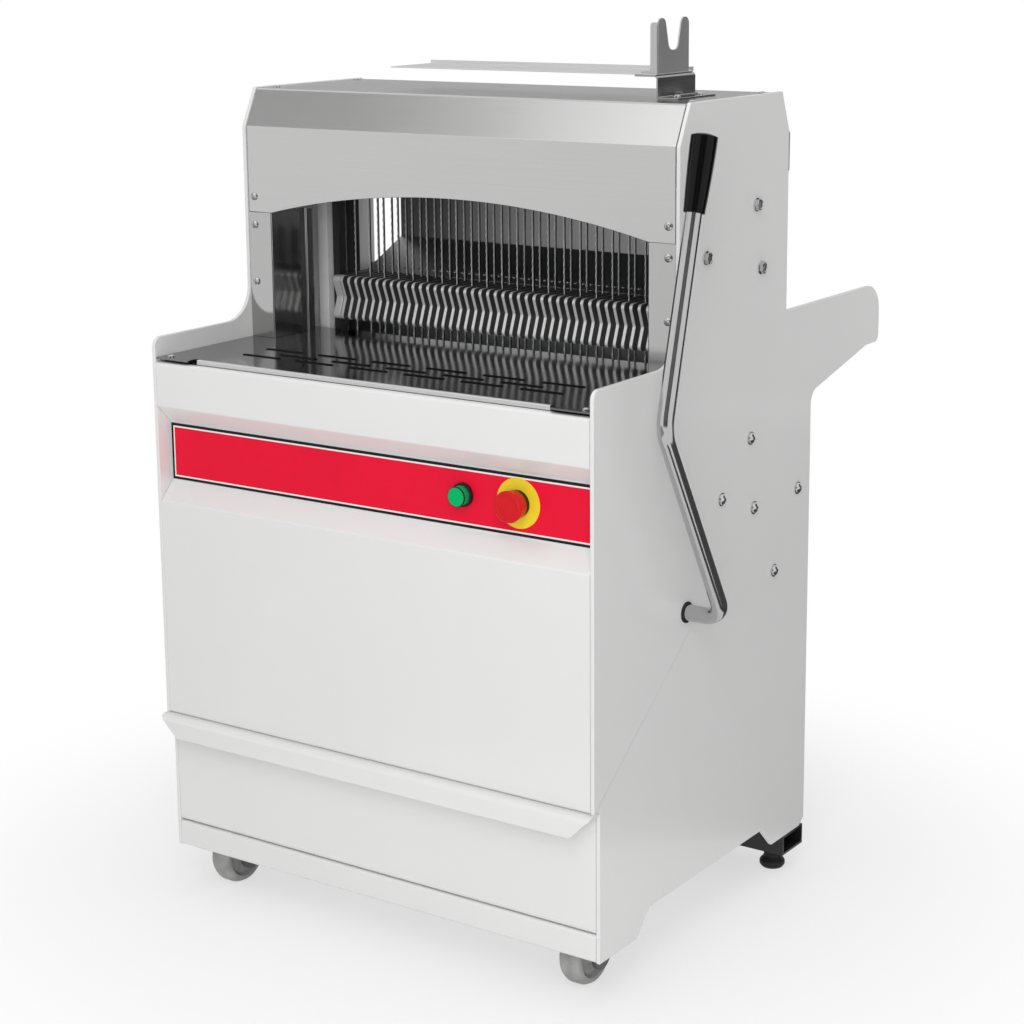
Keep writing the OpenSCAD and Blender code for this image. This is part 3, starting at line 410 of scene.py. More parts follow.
@dataclass(frozen=True)
class Ground(Finish):
    """Blade band: flats painted dark as a painted reflection of the machine's dark inside, and a bright strip
    along the cutting edge that is partly its ground finish and partly a painted highlight.
    """

    edge_y: float
    # dark flat colour is a painted reflection; the bright strip colour is partly a painted highlight
    flat: Colour = (0.09, 0.09, 0.095)
    bevel: Colour = (0.92, 0.92, 0.92)
    bevel_w: float = 0.0026

    def wire(self, made: Shader) -> None:
        """Feeds the strip from the distance behind the cutting edge.

        Args:
            made: The new material.
        """
        _, y, _ = made.split()
        lines = made.noise((900.0, 900.0, 6.0), 3.0, 0.6)
        behind = made.edge(y - self.edge_y, self.bevel_w, 0.0005)
        tone = made.tint(self.flat, 0.75, 1.3, lines)
        # painted reflection on the dark flats, partly painted highlight on the bright strip at the cutting edge
        made.set("Base Color", made.mix(self.bevel, tone, behind))
        made.set("Roughness", made.between(0.2, 0.36, lines) + (1.0 - behind) * 0.25)
        made.set("Metallic", behind * 0.6 + 0.4)
        made.relief(lines, 0.1, 0.0001)


@dataclass(frozen=True)
class Milled(Finish):
    """Comb alloy: bright milled finger edges, with painted shade on the sides between them and on the bars
    behind.
    """

    colour: Colour
    # colour of the painted shade on the finger sides and the bars behind the heads
    side: Colour
    pitch: float
    face: float
    end_x: float
    head_y: float

    def wire(self, made: Shader) -> None:
        """Feeds the painted shade on the sides and the bars behind; off = pitch / 2 - pingpong(x, pitch / 2)
        counts from a finger's middle.

        Args:
            made: The new material.
        """
        x, y, _ = made.split()
        fine = made.noise((ACROSS, ALONG, ACROSS), 3.0, 0.65)
        off = self.pitch / 2 - x.math("PINGPONG", x, self.pitch / 2)
        inside = 1.0 - made.edge(abs(x), self.end_x, 0.0005)
        # painted shade: the finger sides between the fingers and the bars behind the heads go to the side
        # colour
        dark = (made.edge(off, self.face) * inside).most(made.step(y, self.head_y, self.head_y + 0.004))
        light = made.tint(self.colour, 0.92, 1.06, fine)
        made.set("Base Color", made.mix(light, self.side, dark))
        made.set("Roughness", made.between(0.38, 0.52, fine))
        made.set("Metallic", 0.35)
        made.relief(fine, 0.1, 0.0001)


@dataclass(frozen=True)
class Cast(Finish):
    """Painted casting: coarse sand texture with darker hollows."""

    colour: Colour
    roughness: float = 0.55

    def wire(self, made: Shader) -> None:
        """Feeds tone, roughness and relief from the sand.

        Args:
            made: The new material.
        """
        sand = made.noise(380.0, 4.0, 0.65)
        made.set("Base Color", made.tint(self.colour, 0.7, 1.2, sand))
        made.set("Roughness", made.between(self.roughness - 0.1, self.roughness + 0.1, sand))
        made.set("Metallic", 0.3)
        made.relief(sand, 0.5, 0.0005)


@dataclass(frozen=True)
class Foil(Finish):
    """Printed foil: a plain field with a light line and a dark line round its edge."""

    field: Colour
    light: Colour
    dark: Colour
    half_x: float
    half_z: float
    mid_z: float
    dark_w: float
    light_w: float

    def wire(self, made: Shader) -> None:
        """Feeds the lines from the distance to the foil's edge.

        Args:
            made: The new material.
        """
        x, _, z = made.split()
        rim = (self.half_x - abs(x)).least(self.half_z - abs(z - self.mid_z))
        inside = made.edge(rim, self.dark_w)
        field = made.edge(rim, self.dark_w + self.light_w)
        grit = made.noise(1300.0, 2.0)
        tone = made.tint(self.field, 0.93, 1.05, made.noise(14.0, 4.0, 0.6))
        made.set("Base Color", made.mix(made.mix(self.dark, self.light, inside), tone, field))
        made.set("Roughness", made.between(0.34, 0.46, grit))
        made.set("Specular IOR Level", 0.15)
        made.relief(grit, 0.12, 0.0002)


@lru_cache(maxsize=None)
def material_of(finish: Finish) -> bpy.types.Material:
    """The one material of a finish, made when it is first asked for."""
    return finish.material()


WHITE = Paint("gloss_white_powder_coat", (0.82, 0.82, 0.815))
BLACK = Paint("black_powder_coat", (0.010, 0.010, 0.011), 0.42, 0.05, 0.3)
HEAD_STEEL = Brushed("brushed_head_steel", (0.54, 0.54, 0.537), Axis.X, 0.22, 0.06, 0.04)
COLUMN_STEEL = Brushed("brushed_column_steel", (0.45, 0.45, 0.447), Axis.Z, 0.13, 0.05)
TRAY_STEEL = Brushed("brushed_tray_steel", (0.68, 0.68, 0.68), Axis.X, 0.42)
HOLDER_STEEL = Brushed("bright_bracket_steel", (0.34, 0.34, 0.345), Axis.Y, 0.2, 0.06)
FORK_STEEL = Brushed("brushed_fork_steel", (0.50, 0.50, 0.50), Axis.Z, 0.38, 0.1)
TABLE_STEEL = Polished("bright_table_sheet", (0.20, 0.20, 0.205), 0.08, 0.1, 0.5)
PRESS_STEEL = Brushed("satin_press_sheet", (0.33, 0.33, 0.33), Axis.X, 0.4, 0.06)
# near-black finish of the slot rims: painted shade that widens the dark crumb slots
SLOT_SHADE = Polished("painted_slot_shade", (0.012, 0.012, 0.013), 0.3, 0.1)
CHROME = Polished("lever_chrome", (0.50, 0.50, 0.505), 0.09, 0.08)
SCREW_STEEL = Polished("screw_steel", (0.58, 0.58, 0.58), 0.14, 0.1)
# blade flats carry a painted dark reflection, the edge strips a partly painted highlight
FRONT_BLADE = Ground("front_blade_steel", 0.318)
REAR_BLADE = Ground("rear_blade_steel", 0.352)
BRIGHT_STEEL = Brushed("ground_bar_steel", (0.55, 0.55, 0.55), Axis.X, 0.22)
ZINC = Plated("zinc_plate", (0.46, 0.47, 0.48))
# near-black tone for the blade frames inside the mouth
FRAME_STEEL = Cast("dark_frame_steel", (0.05, 0.05, 0.052), 0.45)
# the second colour is painted shade for the finger sides and the bars behind the heads
COMB_ALLOY = Milled("satin_comb_alloy", (0.80, 0.80, 0.79), (0.085, 0.085, 0.087),
                    pitch=0.012, face=0.0021, end_x=0.2613, head_y=0.306)
POST_WHITE = Moulded("pale_slide_plastic", (0.93, 0.93, 0.92), 0.5, 0.0, 0.1)
CASTING = Cast("grey_casting", (0.12, 0.125, 0.13))
MOTOR_GREY = Cast("motor_paint", (0.2, 0.23, 0.25))
GRIP_BLACK = Moulded("grip_plastic", (0.002, 0.002, 0.002), 0.15, 0.0, 0.03, shine=0.18)
PART_BLACK = Moulded("black_moulding", (0.014, 0.014, 0.014), 0.42)
WHEEL_GREY = Moulded("wheel_plastic", (0.36, 0.36, 0.355), 0.5, 0.0, 0.25, 700.0, wear=0.6)
FOOT_RUBBER = Moulded("foot_rubber", (0.012, 0.012, 0.012), 0.55, 0.0, 0.3, 800.0)
BELT_RUBBER = Moulded("belt_rubber", (0.025, 0.025, 0.025), 0.7, 0.0, 0.4, 600.0)
STOP_RED = Moulded("stop_red", (0.66, 0.010, 0.018), 0.34, 0.0, 0.06, shine=0.16)
START_GREEN = Moulded("start_green", (0.0, 0.47, 0.14), 0.3, 0.0, 0.05, shine=0.12)
DISC_YELLOW = Moulded("disc_yellow", (0.90, 0.68, 0.03), 0.4, 0.0, 0.08, shine=0.15)
RED_FOIL = Foil("red_control_foil", (0.85, 0.006, 0.038), (0.85, 0.85, 0.84), (0.012, 0.012, 0.014),
                half_x=0.3227, half_z=0.0367, mid_z=0.5915, dark_w=0.0034, light_w=0.0020)


# Surfaces


@dataclass
class Shell:
    """Points in millimetres and the faces between them."""

    points: Array
    faces: list

    @staticmethod
    def join(parts: Sequence["Shell"]) -> "Shell":
        """One shell from several.

        Args:
            parts: The shells.

        Returns:
            A shell with all their points and faces.
        """
        starts = np.cumsum([0] + [len(p.points) for p in parts])
        faces = [[int(start) + i for i in face] for start, part in zip(starts, parts) for face in part.faces]
        return Shell(np.concatenate([p.points for p in parts]), faces)

    def copies(self, offsets: Iterable[Sequence[float]]) -> "Shell":
        """Copies of the shell, each moved by an offset."""
        return Shell.join([Shell(self.points + np.asarray(way, float), self.faces) for way in offsets])

    def turned(self, normal: Sequence[float], place: Sequence[float], spin: float = 0.0) -> "Shell":
        """The shell turned so that its +Z lies along a normal, then moved to a place."""
        turn = Vector(normal).to_track_quat("Z", "Y").to_matrix() @ Matrix.Rotation(spin, 3, "Z")
        return Shell(self.points @ np.asarray(turn).T + np.asarray(place, float), self.faces)

    def both_sides(self) -> "Shell":
        """The shell and its mirror image on the other side of the machine."""
        return Shell.join([self, Shell(self.points * (-1.0, 1.0, 1.0), self.faces)])


def unit(v: Array) -> Array:
    """Vectors of length 1 along the last axis."""
    return v / np.linalg.norm(v, axis=-1, keepdims=True)


def row(count: int, pitch: float) -> Array:
    """Offsets of a row along X, centred on the machine."""
    x = (np.arange(count) - (count - 1) / 2) * pitch
    return np.stack([x, 0 * x, 0 * x], 1)


def loft(rings: Array, cap: Cap = Cap.DISC) -> Shell:
    """Closed surface through rings: quads join point j of ring i with point j + 1 and with ring i + 1.

    Args:
        rings: Points as (ring, place on the ring, xyz).
        cap: How the first and the last ring are closed.

    Returns:
        The shell.
    """
    count, size, _ = rings.shape
    index = np.arange(count * size).reshape(count, size)
    a, b = index[:-1], index[1:]
    faces = np.stack([a, np.roll(a, -1, 1), np.roll(b, -1, 1), b], -1).reshape(-1, 4).tolist()
    first, last = index[0], index[-1]
    if cap is Cap.LOOP:
        faces += np.stack([last, np.roll(last, -1), np.roll(first, -1), first], -1).tolist()
    elif cap is Cap.DISC:
        faces += [first[::-1].tolist(), last.tolist()]
    else:
        j = np.arange(size // 2 - 1)
        for ring in (first[::-1], last):
            faces += np.stack([ring[j], ring[j + 1], ring[size - 2 - j], ring[size - 1 - j]], -1).tolist()
    return Shell(rings.reshape(-1, 3), faces)


def rounded(path: Array, radius: Union[float, Sequence[float]], steps: int = 8) -> Array:
    """Path whose inner corners are arcs: c + (s - c) cos t + r a sin t, where the arc starts at s along a.

    Args:
        path: Corner points, in two or three dimensions.
        radius: Radius of all arcs, or one for each inner corner.
        steps: Steps along an arc.

    Returns:
        Points of the rounded path.
    """
    radii = np.broadcast_to(radius, len(path) - 2)
    out = [path[:1]]
    for before, corner, after, r in zip(path[:-2], path[1:-1], path[2:], radii):
        a, b = unit(corner - before), unit(after - corner)
        turn = math.acos(float(np.clip(a @ b, -1, 1)))
        start = corner - a * r * math.tan(turn / 2)
        centre = corner + unit(b - a) * r / math.cos(turn / 2)
        t = np.linspace(0, turn, steps + 1)[:, None]
        out.append(centre + (start - centre) * np.cos(t) + a * r * np.sin(t))
    out.append(path[-1:])
    return np.concatenate(out)


def closed(corners: Sequence[Sequence[float]], steps: int = 10) -> Array:
    """Closed outline from rows of (a, b, corner radius), each corner rounded as by rounded().

    Args:
        corners: The rows.
        steps: Steps along an arc.

    Returns:
        Points of the outline.
    """
    rows = np.asarray(corners, float)
    ring = np.concatenate([rows[-1:], rows, rows[:1]])
    return rounded(ring[:, :2], ring[1:-1, 2], steps)[1:-1]


def placed(ends: Array, flat: Array, axis: Axis) -> Array:
    """Points with one coordinate along the axis and two across it, as xyz."""
    return np.concatenate([ends[..., None], flat], -1)[..., list(axis.value)]


def section(path: Array, thickness: float, edge: float = CHAMFER) -> Array:
    """Closed loop round a sheet: its outer face along the path, its inner face back, chamfered at both edges.

    The inner face lies to the right of the path, at the mitre (a + b) / (1 + a.b) of neighbouring normals.

    Args:
        path: Points of (a, b) along the outer face.
        thickness: Thickness of the sheet.
        edge: Size of the chamfers.

    Returns:
        Points of the loop.
    """
    step = unit(np.diff(path, axis=0))
    right = np.stack([step[:, 1], -step[:, 0]], 1)
    a, b = np.concatenate([right[:1], right]), np.concatenate([right, right[-1:]])
    mitre = (a + b) / (1 + (a * b).sum(1, keepdims=True))
    faces = []
    for depth, inset in ((0.0, edge), (thickness, thickness - edge)):
        line = path + mitre * depth
        line[0] += step[0] * edge
        line[-1] -= step[-1] * edge
        ends = [(path[i] + right[i] * inset)[None] for i in (0, -1)]
        faces.append(np.concatenate([ends[0], line, ends[1]]))
    return np.concatenate([faces[0], faces[1][::-1]])


def folded(corners: Sequence[Sequence[float]], radius: float, thickness: float, edge: float = CHAMFER,
           steps: int = 8) -> Array:
    """Section of a sheet that is folded at corner points, rounded by rounded() and closed by section()."""
    return section(rounded(np.array(corners, float), radius, steps), thickness, edge)


def carried(loops: Array, low: Any, high: Any, axis: Axis, edge: float = CHAMFER,
            inner: Sequence[float] = ()) -> Shell:
    """Sheet loop carried along an axis; at both ends it draws in towards its middle line.

    Args:
        loops: One loop of (a, b), or one for each station.
        low: Start along the axis, one number or one for each point of the loop.
        high: End along the axis, in the same way.
        axis: Direction of travel.
        edge: Size of the chamfer at the ends.
        inner: Further stations between the ends.

    Returns:
        The shell.
    """
    size = loops.shape[-2]
    low, high = (np.broadcast_to(np.asarray(v, float), size) for v in (low, high))
    stations = [low, low + edge] + [np.full(size, s) for s in inner] + [high - edge, high]
    loops = np.broadcast_to(loops, (len(stations), size, 2))
    middle = (loops + loops[:, ::-1]) / 2
    half = np.linalg.norm(loops - middle, axis=-1, keepdims=True)
    draw = np.ones((len(stations), size, 1))
    draw[[0, -1]] = np.maximum(0.1, 1 - edge / np.maximum(half[[0, -1]], 1e-6))
    return loft(placed(np.stack(stations), middle + (loops - middle) * draw, axis), Cap.STRIP)


def spanned(loops: Array, half: Any, edge: float = CHAMFER, inner: Sequence[float] = ()) -> Shell:
    """Sheet loop carried along X by the same half width to both sides, as by carried()."""
    return carried(loops, -half, half, Axis.X, edge, inner)


def plate(outline: Array, low: float, high: float, axis: Axis, edge: float = 0.8, steps: int = 3) -> Shell:
    """Flat plate with rounded rims: inset e (1 - sin t) at the depth e (1 - cos t) below each face.

    Args:
        outline: Closed outline of (a, b).
        low: Place of one face along the axis.
        high: Place of the other face.
        axis: Direction across the plate.
        edge: Radius of the rims.
        steps: Steps of each rim.

    Returns:
        The shell.
    """
    area = np.sum(outline[:, 0] * np.roll(outline[:, 1], -1) - np.roll(outline[:, 0], -1) * outline[:, 1])
    ring = outline if area > 0 else outline[::-1]
    step = unit(np.roll(ring, -1, 0) - ring)
    left = np.stack([-step[:, 1], step[:, 0]], 1)
    back = np.roll(left, 1, 0)
    inward = (left + back) / (1 + (left * back).sum(1, keepdims=True))
    t = np.linspace(0, math.pi / 2, steps + 1)
    inset, depth = edge * (1 - np.sin(t)), edge * (1 - np.cos(t))
    heights = np.concatenate([low + depth, high - depth[::-1]])
    insets = np.concatenate([inset, inset[::-1]])
    rings = ring + insets[:, None, None] * inward
    return loft(placed(np.broadcast_to(heights[:, None], rings.shape[:2]), rings, axis))


def lathe(profile: Array, axis: Axis, centre: Sequence[float], sides: int = 64, flutes: int = 0,
          flute_d: float = 0.0) -> Shell:
    """Surface of revolution: r cos t and r sin t across the axis and h along it, with r and h from the profile.

    Args:
        profile: Rows of (r, h); where both ends lie off the axis they are joined, as the wall of a bore.
        axis: Axis of revolution.
        centre: Point of the axis where h is nought.
        sides: Points round the axis.
        flutes: Number of shallow flutes round it.
        flute_d: Depth of the flutes.

    Returns:
        The shell.
    """
    t = np.linspace(0, 2 * math.pi, sides, endpoint=False)
    r = profile[:, :1] - flute_d * (0.5 - 0.5 * np.cos(flutes * t)) * (profile[:, :1] > flute_d)
    flat = r[..., None] * np.stack([np.cos(t), np.sin(t)], -1)
    bored = min(profile[0, 0], profile[-1, 0]) > BORE
    rings = placed(np.broadcast_to(profile[:, 1:], r.shape), flat, axis) + np.asarray(centre, float)
    return loft(rings, Cap.LOOP if bored else Cap.DISC)


def sweep(path: Array, radius: float, sides: int = 32) -> Shell:
    """Round bar along a path: p + r (n cos t + b sin t), with n carried along so that it doesn't twist.

    Args:
        path: Points of the middle line.
        radius: Radius of the bar.
        sides: Points round the bar.

    Returns:
        The shell.
    """
    heading = unit(np.gradient(path, axis=0))
    normal = [unit(np.cross(heading[0], (0.3, 0.9, 0.1)))]
    for h in heading[1:]:
        normal.append(unit(normal[-1] - h * (normal[-1] @ h)))
    n = np.stack(normal)
    b = np.cross(heading, n)
    t = np.linspace(0, 2 * math.pi, sides, endpoint=False)[:, None]
    return loft(path[:, None] + radius * (n[:, None] * np.cos(t) + b[:, None] * np.sin(t)))


def arc(centre: Sequence[float], radius: float, start: float, end: float, steps: int = 8) -> Array:
    """Points on an arc between two angles in degrees."""
    t = np.radians(np.linspace(start, end, steps + 1))
    return np.asarray(centre, float) + radius * np.stack([np.cos(t), np.sin(t)], 1)


def pan_head(radius: float = 5.0, height: float = 2.8) -> Shell:
    """Screw head with a cross recess, as rings of a polar grid round +Z.

    The height is that of a dome, h (1 - k (r / R)^2), less a recess where the point lies within a cross.

    Args:
        radius: Radius of the head.
        height: Height of the dome.

    Returns:
        The shell.
    """
    dome, arm_w, arm_l, depth = 0.55, 0.75, 0.6, 1.4
    t = np.linspace(0, 2 * math.pi, 64, endpoint=False)
    r = np.concatenate([np.linspace(0.02, 1.0, 16), [1.0]])[:, None] * radius
    x, y = r * np.cos(t), r * np.sin(t)
    across = np.clip((arm_w - np.minimum(np.abs(x), np.abs(y))) / 0.25, 0, 1)
    along = np.clip((radius * arm_l - r) / 0.4, 0, 1)
    z = height * (1 - dome * (r / radius) ** 2) - depth * (across * along)
    z[-1] = 0.0
    return loft(np.stack([x, y, z], -1))


def bolt_head(rows: Sequence[Sequence[float]], flat: float, shank: float) -> Shell:
    """Bolt with a washer, round +Z: r = (1 - s) R + s min(R, f / cos u) blends a circle with a hexagon.

    Args:
        rows: Rows of (radius R, height, hexagon share s), from the washer to the top.
        flat: Half the width f across the hexagon's flats; u is the angle off the nearest flat.
        shank: Depth of the shank below the face.

    Returns:
        The shell.
    """
    table = np.concatenate([[(4.0, -shank, 0), (4.0, 0, 0)], np.asarray(rows, float)])
    t = np.linspace(0, 2 * math.pi, 72, endpoint=False)
    hexagon = flat / np.cos((t + math.pi / 6) % (math.pi / 3) - math.pi / 6)
    radius, height, share = table[:, :1], table[:, 1:2], table[:, 2:]
    r = (1 - share) * radius + share * np.minimum(radius, hexagon)
    return loft(np.stack([r * np.cos(t), r * np.sin(t), np.broadcast_to(height, r.shape)], -1))


# Pieces


def add(name: str, shell: Shell, finish: Finish, body: str, slot: str, *nodes: str,
        smooth: float = 40.0) -> bpy.types.Object:
    """Puts a shell into the scene as a piece that rides on a body.

    Args:
        name: Name of the piece.
        shell: Its surface.
        finish: Its finish.
        body: The body that it moves with.
        slot: The record's material slot; not used.
        *nodes: The nodes that it stands for.
        smooth: Angle in degrees above which an edge stays sharp.

    Returns:
        The new object.
    """
    mesh = bpy.data.meshes.new(name)
    mesh.from_pydata(((shell.points - DATUM) * MM).tolist(), [], shell.faces)
    work = bmesh.new()
    work.from_mesh(mesh)
    bmesh.ops.remove_doubles(work, verts=work.verts, dist=WELD)
    bmesh.ops.dissolve_degenerate(work, edges=work.edges, dist=SLIVER)
    bmesh.ops.recalc_face_normals(work, faces=work.faces)
    work.to_mesh(mesh)
    work.free()
    mesh.polygons.foreach_set("use_smooth", np.ones(len(mesh.polygons), bool))
    mesh.set_sharp_from_angle(angle=math.radians(smooth))
    mesh.materials.append(material_of(finish))
    made = bpy.data.objects.new(name, mesh)
    bpy.context.scene.collection.objects.link(made)
    made.modifiers.new("even_shading", "WEIGHTED_NORMAL").keep_sharp = True
    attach(made, body)
    if nodes:
        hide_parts(*nodes)
    LOG.info("piece %s on %s: %d faces", name, body, len(mesh.polygons))
    return made


def dress(finish: Finish, *nodes: str) -> None:
    """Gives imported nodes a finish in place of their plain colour.

    Args:
        finish: The finish.
        *nodes: The nodes that get it.
    """
    for node in nodes:
        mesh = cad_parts[node].data
        mesh.materials.clear()
        mesh.materials.append(material_of(finish))
        LOG.info("node %s: %s", node, finish.name)


@dataclass
class Cabinet:
    """White cabinet: side plates, front sheet with its recess, skirt, rear panel and tables."""

    half_w: float = 330.0
    panel_t: float = 5.0
    sheet_x: float = 324.5
    sheet_t: float = 2.0
    fold_r: float = 4.0
    flange: float = 10.0
    setback: float = 12.0
    foot_z: float = 57.0
    front_z: float = 245.4
    front_top: float = 710.0
    recess: tuple = (553.0, 630.0, 23.0)
    table_z: float = 716.0
    lip_x: float = 265.0
    lip_y: float = 11.6
    nose_d: float = 4.0
    nose_t: float = 0.3
    nose_r: float = 1.6
    rim_r: float = 0.8
    slot_l: float = 60.0
    slot_w: float = 4.0
    slot_pitch: float = 85.0
    slot_rows: tuple = ((74, 6), (95, 5), (120, 6))
    rear_y: float = 522.0
    louvre_z: float = 330.0
    louvre_x: tuple = (-150, 0, 150)
    louvre_pitch: float = 14.0

    def side_outline(self) -> Array:
        """Outline of a side plate as (y, z): feet, wing, head and rim.

        Returns:
            Points of the outline.
        """
        z0, step = self.foot_z, self.setback
        return closed([
            (step, z0, 1), (95, z0, 2), (125, 87, 2), (407, 87, 2), (437, z0, 2), (515, z0, 1), (528, 66, 1),
            (528, 650, 20), (690, 688, 2), (727, 688, 10), (727, 768, 36), (455, 768, 1), (455, 994, 2),
            (436, 1043, 2), (210, 1043, 2), (186, 994, 2), (186, 741, 45), (0, 741, 12),
            (0, self.front_z, 0.6), (step, self.front_z, 0.6)])

    def skirt(self) -> Shell:
        """Skirt whose lower flange is cut back to one bend beside the wheels.

        Returns:
            The shell.
        """
        flange, near, far, cut, slit = 26, 245.0, 305.0, 17.0, 0.05
        y, low, high = self.setback, self.foot_z, 91.0
        loop = folded([(y + flange, low), (y, low), (y, high), (y + flange, high)], self.fold_r, self.sheet_t)
        steps = np.array([near - slit, near, far, far + slit])
        inner = np.concatenate([-steps[::-1], steps])
        x = np.concatenate([[-self.sheet_x] * 2, inner, [self.sheet_x] * 2])
        beside = (np.abs(x) > near - slit / 2) & (np.abs(x) < far + slit / 2)
        loops = np.repeat(loop[None], len(x), 0)
        under = loop[:, 1] < low + self.sheet_t + 0.5
        loops[beside, :, 0] = np.where(under, np.minimum(loop[:, 0], cut), loop[:, 0])
        return spanned(loops, self.sheet_x, inner=inner)

    def rims(self) -> Shell:
        """Rounded rims of the crumb slots, swept round straight slots with half-round ends.

        Returns:
            The shell.
        """
        reach, r = self.slot_l / 2, self.slot_w / 2 + self.rim_r
        ring = closed([(-reach, -r, r), (reach, -r, r), (reach, r, r), (-reach, r, r)], 6)
        loop = np.concatenate([ring, ring[:1]])
        rim = sweep(np.concatenate([loop, np.full((len(loop), 1), self.table_z)], 1), self.rim_r, 8)
        return Shell.join([
            rim.copies(row(count, self.slot_pitch) + (0, y, 0)) for y, count in self.slot_rows])

    def hoods(self) -> Shell:
        """Pressed hoods over the louvres: the bulge falls to nought at both ends as sqrt(1 - (x / a)^6).

        Returns:
            The shell.
        """
        half, deep, rise, steps, skin, edge = 60.0, 4.2, 4.4, 24, 1.0, 0.2
        x = np.linspace(-half, half, steps + 1)[1:-1]
        bulge = np.sqrt(1 - (np.concatenate([[-half] * 2, x, [half] * 2]) / half) ** 6)[:, None, None]
        path = arc((0, -rise / 2), 1, 90, -10, 8) * (deep, 1.6 * rise)
        loops = section(path[::-1], skin, edge) * np.concatenate([bulge + 0.02, np.ones_like(bulge)], 2)
        return spanned(loops, half, edge, x).copies(
            (column, self.rear_y, self.louvre_z + self.louvre_pitch * i)
            for column in self.louvre_x for i in range(-2, 3))

    def build(self) -> None:
        """Builds the side plates and the folded sheets."""
        outline = self.side_outline()
        for name, low in (("left_side", -self.half_w), ("right_side", self.half_w - self.panel_t)):
            add(name + "_plate", plate(outline, low, low + self.panel_t, Axis.X), WHITE, "cabinet",
                "white_paint", name + "_panel")
        low, high, deep = self.recess
        front = folded([
            (self.flange, self.front_z), (0, self.front_z), (0, low - deep), (deep, low), (deep, high),
            (0, high + deep), (0, self.front_top), (self.flange, self.front_top)], self.fold_r, self.sheet_t)
        add("front_sheet", spanned(front, self.sheet_x), WHITE, "cabinet", "white_paint", "front_panel")
        add("skirt_sheet", self.skirt(), WHITE, "cabinet", "white_paint", "skirt")
        # painted shade: the slot rims are near black so that the crumb slots read as wider dark slits
        add("slot_rims", self.rims(), SLOT_SHADE, "cabinet", "mirror_steel")
        y, t, top = self.lip_y, self.nose_t, self.table_z + self.nose_t
        nose = folded([(y, self.front_top + t), (y, top), (y + self.nose_d, top)], self.nose_r, t, 0.1)
        # painted highlight: the table's front nose takes the lighter tray steel instead of the dark table sheet
        # it belongs to
        add("table_nose", spanned(nose, self.lip_x), TRAY_STEEL, "cabinet", "mirror_steel")
        add("louvre_hoods", self.hoods(), WHITE, "cabinet", "white_paint")
        dress(WHITE, "rear_panel", "motor_shelf")
        dress(RED_FOIL, "control_foil")
        dress(PART_BLACK, "cable_gland")
        dress(BLACK, "rear_member")
        dress(TABLE_STEEL, "front_table")
        dress(TRAY_STEEL, "rear_table")
        dress(ZINC, "table_rails", "rod_beams", "tie_bars")
        dress(BRIGHT_STEEL, "guide_rods")


@dataclass
class Drawer:
    """Crumb drawer with a full-width pull lip, mitred at its ends."""

    reach: float = 324.5
    lip_reach: float = 330.0
    setback: float = 12.0
    flange: float = 14.0
    fold_r: float = 7.0
    lip_y: float = -11.0
    low: float = 92.2
    top: float = 243.2
    lip_h: float = 27.0
    sheet_t: float = 2.0

    def build(self) -> None:
        """Builds the front; the lip's half width falls with its height, r = lip reach - (top - z)."""
        loop = folded([
            (self.setback + self.flange, self.low), (self.setback, self.low), (self.setback, self.top),
            (self.lip_y, self.top), (self.lip_y, self.top - self.lip_h)], self.fold_r, self.sheet_t, steps=10)
        on_lip = loop[:, 0] < self.setback - 0.5
        half = np.where(on_lip, self.lip_reach - np.maximum(0, self.top - loop[:, 1] - 1), self.reach)
        add("drawer_face", spanned(loop, half), WHITE, "drawer", "white_paint", "drawer_front")
        dress(TRAY_STEEL, "drawer_tray")
        dress(ZINC, "drawer_runners")


